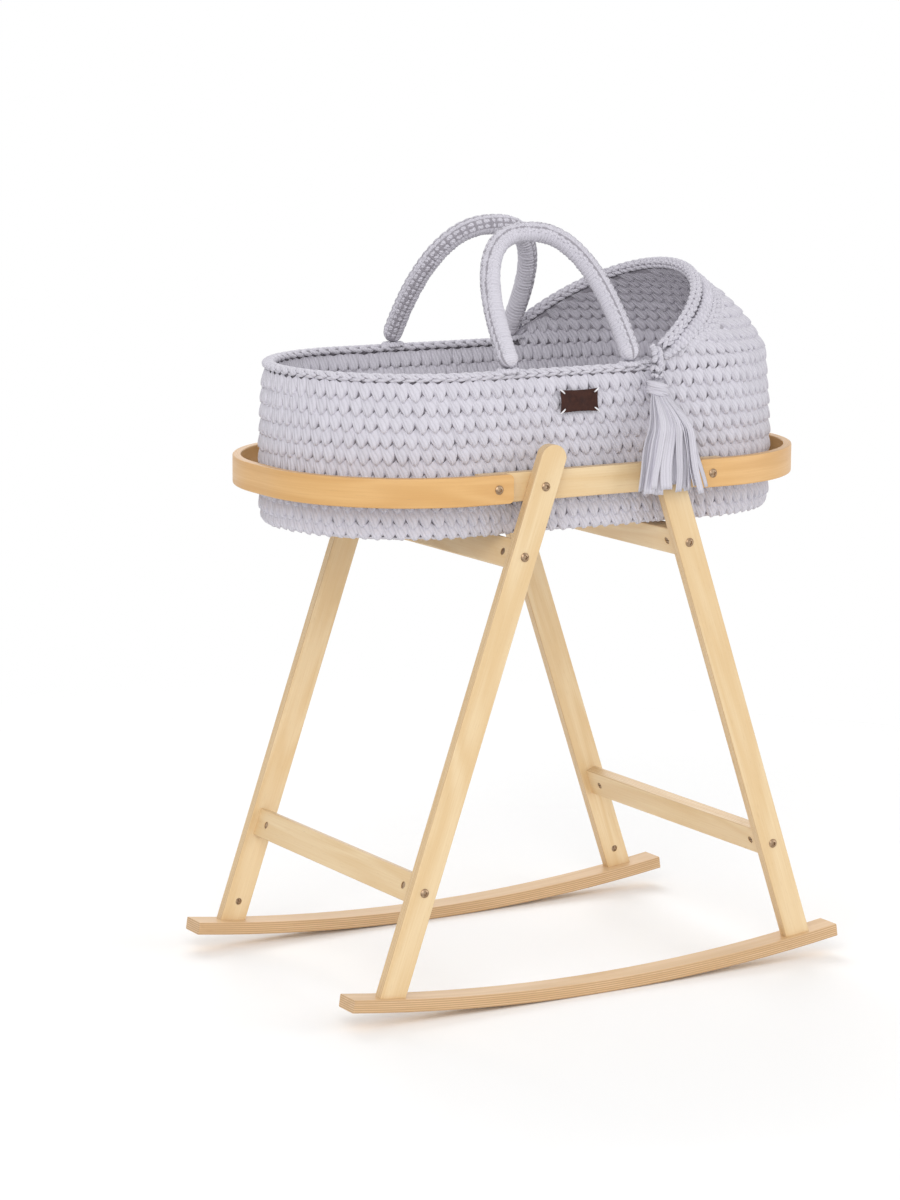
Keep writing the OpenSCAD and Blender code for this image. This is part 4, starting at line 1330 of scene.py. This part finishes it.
def neck_coil(tassel):
    """Formulas for the coil's shape and for its painted shade: the yarn is darker towards the strips
    and between its turns, lighter outside.
    """
    start = tassel.top + Vector((0, tassel.side * 0.003, -NECK_YARN))
    phase = dice.uniform(0, 6)

    def shape(a, h):
        turn, small = 2 * math.pi * NECK_TURNS * h, 2 * math.pi * a
        wavy = 1 + 0.12 * math.sin(2.3 * turn + phase)
        full = NECK_YARN * min(1, 30 * min(h, 1 - h)) ** 0.5 * wavy
        reach = NECK_R + 0.0007 * math.sin(1.7 * turn + phase) + full * math.cos(small)
        x, y = reach * math.cos(turn), 0.85 * reach * math.sin(turn)
        z = full * math.sin(small) - NECK_STEP * NECK_TURNS * h - NECK_TILT * x
        return start + Vector((x, y, z))

    def depth(a, h):
        # Painted shade: dark on the yarn's side towards the strips, light on its outer side.
        return 0.42 + 0.2 * math.cos(2 * math.pi * a)
    return shape, depth


for tassel in tassels:
    shape, depth = neck_coil(tassel)
    coil = sheet_piece(tassel.body + "_binding", 8, 28 * NECK_TURNS, shape, depth, strip_yarn,
                       tassel.body, merge=True)
print("binding:", NECK_TURNS, "turns,", len(coil.data.polygons), "faces each")

# %% Tassel knot and tie
KNOT_LINK = (0.0150, 0.0115, 0.0032)
KNOT_ROWS = tuple((60 * k, 22 * (-1) ** k, 0.5) for k in range(6))


def knot_links(tassel):
    """Two rings of leaning links that run down over a ball."""
    def ball(share, degrees):
        down, turn = math.pi * share, math.radians(degrees)
        level = math.sin(down)
        return tassel.knot, Vector((level * math.cos(turn), level * math.sin(turn), math.cos(down)))

    return links_on(ball, KNOT_R, math.pi * KNOT_R, 2, KNOT_ROWS, KNOT_LINK)


TIES = {  # steps from the knot: along the basket, outwards, up
    # from the hood's foot
    "front": ((0.011, -0.020, 0.033), (0.008, -0.009, 0.028), (0.002, 0.003, 0.012)),
    # flat under a handle
    "back": ((0, -0.019, 0.0104), (0, -0.009, 0.0104), (0, -0.001, 0.0085)),
}


def tie_places(tassel, steps):
    """Two rows of leaning links along a route, on its outer side."""
    route = [tassel.knot + Vector((x, tassel.side * out, up)) for x, out, up in steps]
    places = []
    for start, end in zip(route, route[1:]):
        along = (end - start).normalized()
        out = Vector((0, tassel.side, 0.3))
        out = (out - along * out.dot(along)).normalized()
        for k in range(2):
            for way in (1, -1):
                side = along.cross(out) * (0.0042 * way)
                share = (k + 0.5 - 0.25 * way) / 2
                place = start.lerp(end, share) + side + out * 0.003
                lean = 24 * way * tassel.side
                places.append(link_at(place, along, out, lean, (0.015, 0.0084, 0.007)))
    return places


for tassel in tassels:
    knot = sew(tassel.body + "_knot_links", chain_link, knot_links(tassel), lowest=0.4)
    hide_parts(tassel.body + "_knot")
    tie = placed(chain_link, tie_places(tassel, TIES[tassel.word]))
    sew(tassel.body + "_tie", chain_link, tie, lowest=0.25)
print("tassels bound and tied")

# %% [markdown]
# ## The floor inside
# The floor is worked in the same stitches as the wall, row inside row. The mattress covers nearly
# all of it, so only the rows that show between its edge and the wall are made.

# %% Floor round the mattress
PAD_R = (mattress_high.y - mattress_low.y) / 2
PAD_C = (mattress_high.x - mattress_low.x) / 2 - PAD_R
UNDER_PAD = 0.012  # how far the rows go on under the mattress
floor_runs = [row_run(row) for row in range(inside_count, inside_count + 6)]
floor_rows = [skin_row(inside_stitch, run, INSIDE_SHIFT * number, PROUD - WALL_T, -1)
              for number, run in enumerate(floor_runs) if on_section(run)[0] > PAD_R - UNDER_PAD]
sew("floor_inside", inside_stitch, np.concatenate(floor_rows))
print("rows on the floor:", len(floor_rows))

# %% [markdown]
# ## The mattress
# A thin foam mattress in a cotton cover lies on the floor of the basket. Its CAD solid is only a
# plain oval, so a slightly smaller pad is remeshed into even squares and blown up a little by the
# cloth simulation, which rounds its edges and lets the top crown.

# %% Mattress cover
def woven_cotton():
    material, tree, shader = finish_of(
        "mattress_cotton", Roughness=0.9, Sheen_Weight=0.25, Specular_IOR_Level=0.2)
    spot = spot_on(tree)
    rows = {"Vector": spot, "Scale": 140.0, "Distortion": 0.6, "Detail Scale": 3.0}
    warp, weft = (put(tree, "TexWave", rows, bands_direction=way).outputs["Fac"] for way in "XY")
    weave = calc(tree, "MAXIMUM", warp, weft)
    slub = grainy(tree, spot, 60.0, 4.0)
    colour = tint(tree, span(tree, slub, 0.3, 0.7), (0.80, 0.78, 0.73, 1), (0.88, 0.86, 0.82, 1))
    # Painted shade: the cover is painted darker between its threads, where the weave dips.
    colour = tint(tree, span(tree, weave, 0.0, 0.6, 0.25, 0.0), colour, (0.62, 0.60, 0.56, 1))
    feed(tree, shader, Base_Color=colour, Normal=bumpy(tree, weave, 0.35, 0.0004))
    return material


PAD_SWELL = 0.008  # the pad starts so much smaller all round, and may swell by as much
PAD_SPARE = 0.014  # and so much thinner


def pad_mesh():
    """A flat oval pad: a disc whose halves are drawn apart, extruded, with soft edges."""
    bm = bmesh.new()
    bmesh.ops.create_circle(bm, cap_ends=True, segments=72, radius=PAD_R - PAD_SWELL)
    for point in bm.verts:
        point.co.x += math.copysign(PAD_C, point.co.x) + BASKET_X
        point.co.z = mattress_low.z + 0.001
    lifted = bmesh.ops.extrude_face_region(bm, geom=bm.faces[:])["geom"]
    rise = mattress_high.z - mattress_low.z - PAD_SPARE
    bmesh.ops.translate(bm, verts=only(lifted, BMVert), vec=(0, 0, rise))
    bmesh.ops.recalc_face_normals(bm, faces=bm.faces)
    sharp = [e for e in bm.edges if len(e.link_faces) == 2 and e.calc_face_angle() > 1.2]
    bmesh.ops.bevel(
        bm, geom=sharp, offset=0.012, affect="EDGES", segments=3, profile=0.5, material=-1)
    return mesh_of(bm, "mattress_cover")


def applied(piece):
    """Replaces a piece's mesh by what its modifiers make of it."""
    shown = piece.evaluated_get(bpy.context.evaluated_depsgraph_get())
    mesh = bpy.data.meshes.new_from_object(shown)
    piece.modifiers.clear()
    piece.data = mesh


def blow_up(piece, pressure, cap):
    """Inflates a pad by cloth simulation, each point at most as far as the cap."""
    even = piece.modifiers.new("even", "REMESH")
    even.mode, even.voxel_size = "VOXEL", 0.006
    applied(piece)
    rest = points_of(piece.data)
    cloth = piece.modifiers.new("cloth", "CLOTH")
    cloth.settings.use_pressure = True
    cloth.settings.uniform_pressure_force = pressure
    cloth.settings.effector_weights.gravity = 0
    for number in range(1, 21):
        scene.frame_set(number)
    applied(piece)
    scene.frame_set(1)
    step = points_of(piece.data) - rest
    far = np.maximum(np.linalg.norm(step, axis=1, keepdims=True), 1e-9)
    new = rest + step * np.minimum(1, cap / far)
    new[:, 2] = np.maximum(new[:, 2], mattress_low.z + 0.0003)
    piece.data.vertices.foreach_set("co", new.ravel())
    return float(np.minimum(far, cap).max())


mattress = add_piece("mattress_cover", pad_mesh(), woven_cotton(), "basket")
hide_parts("mattress")
print("mattress swells by up to", round(blow_up(mattress, 4.0, PAD_SWELL), 4), "m")
mattress.data.shade_smooth()
smooth = mattress.modifiers.new("smooth", "SUBSURF")
smooth.levels = smooth.render_levels = 1

# %% [markdown]
# ## The leather label
# A bare patch of dark leather lies on the wall. The threads at its corners pull them out, so its
# sides curve in a little. It is a bent grid, and two modifiers give it a thickness and soft edges.

# %% Label
def leather():
    material, tree, shader = finish_of("label_leather", Specular_IOR_Level=0.15)
    spot = spot_on(tree)
    cells = put(tree, "TexVoronoi", {"Vector": spot, "Scale": 900.0}).outputs["Distance"]
    worn = grainy(tree, spot, 110.0, 4.0)
    dark, pale = (0.030, 0.011, 0.009, 1), (0.062, 0.025, 0.018, 1)
    colour = tint(tree, span(tree, worn, 0.3, 0.72), dark, pale)
    rough = span(tree, worn, 0.3, 0.7, 0.55, 0.7)
    feed(tree, shader, Base_Color=colour, Roughness=rough, Normal=bumpy(tree, cells, 0.3, 0.0004))
    return material


label_low, label_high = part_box("leather_label")
LABEL_W, LABEL_H = label_high.x - label_low.x, label_high.z - label_low.z
LABEL_MIDDLE = Vector((
    (label_low.x + label_high.x) / 2, label_low.y, (label_low.z + label_high.z) / 2))
label_slope = (wall_radius(label_low.z) - wall_radius(label_high.z)) / LABEL_H
LABEL_UP = Vector((0, label_slope, 1)).normalized()
LABEL_OUT = Vector((1, 0, 0)).cross(LABEL_UP)


def on_label(x, z, out=0.0):
    """A point of the label, from its middle to the right, up and out of it, in metres."""
    return LABEL_MIDDLE + Vector((x, 0, 0)) + LABEL_UP * z + LABEL_OUT * out


def patch(a, h):
    """The patch with its curved sides and a slight wave."""
    a, h = 2 * a - 1, 2 * h - 1
    x = LABEL_W / 2 * a * (1.00 + 0.05 * h * h)
    z = LABEL_H / 2 * h * (0.95 + 0.10 * a * a)
    return on_label(x, z, 0.0008 + 0.0006 * math.cos(7 * a) * (1 - h * h))


label = sheet_piece("label_patch", 20, 12, patch, 1.0, leather())
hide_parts("leather_label")
label.modifiers.new("thickness", "SOLIDIFY").thickness = 0.0016
edge = label.modifiers.new("soft_edge", "BEVEL")
edge.width, edge.segments = 0.0003, 2
print("label", round(LABEL_W, 4), "by", round(LABEL_H, 4), "m")

# %% [markdown]
# A short white thread ties each corner to the wall. It is a tube made from a grid, like the core of
# the roll, and it is bent from the leather over to the yarn.

# %% Threads of the label
def white_cotton():
    material, tree, shader = finish_of("white_thread", Roughness=0.8)
    flat = put(tree, "TexCoord").outputs["UV"]
    twist = put(tree, "TexWave", {"Vector": flat, "Scale": 3.0}).outputs["Fac"]
    # Painted shade: the darker stripes stand for the shade between the strands of the twist.
    colour = tint(tree, twist, (0.72, 0.71, 0.74, 1), (0.90, 0.89, 0.91, 1))
    feed(tree, shader, Base_Color=colour)
    return material


def thread(side_x, side_z):
    """A thread from the patch's corner outwards, as a bent tube."""
    start, end = Vector((0.80, 0.66)), Vector((1.10, 1.12))  # in shares of the patch's half size
    step = end - start
    flat = Vector((-step.y * side_z * LABEL_H, step.x * side_x * LABEL_W)).normalized()

    def shape(a, h):
        share_x, share_z = start.lerp(end, h)
        x, z = share_x * side_x * (LABEL_W / 2), share_z * side_z * (LABEL_H / 2)
        turn, radius = 2 * math.pi * a, 0.0012 * max(math.sin(math.pi * h), 0) ** 0.3
        return on_label(x + flat.x * radius * math.cos(turn), z + flat.y * radius * math.cos(turn),
                        0.0014 + 0.0012 * math.sin(math.pi * h) + radius * math.sin(turn))
    return shape


white_thread = white_cotton()
for corner_x in (-1, 1):
    for corner_z in (-1, 1):
        name = "label_thread_" + ("left", "right")[corner_x > 0] + ("_low", "_high")[corner_z > 0]
        sheet_piece(name, 8, 10, thread(corner_x, corner_z), 1.0, white_thread, merge=True)
print("threads on 4 corners")

# %% [markdown]
# ## Size of the finished model
# The box of the dressed model is set against the box of the measured one, and how far it grows
# beyond it on each side is printed; a little fabric may stand out. The dressed model must stay
# inside the box of the measured one, apart from a little fabric.

# %% Compare sizes and finish
seen_low, seen_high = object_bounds()
grown = [[round(s, 4) for s in step] for step in (cad_low - seen_low, seen_high - cad_high)]
print("visual box grows by", *grown)
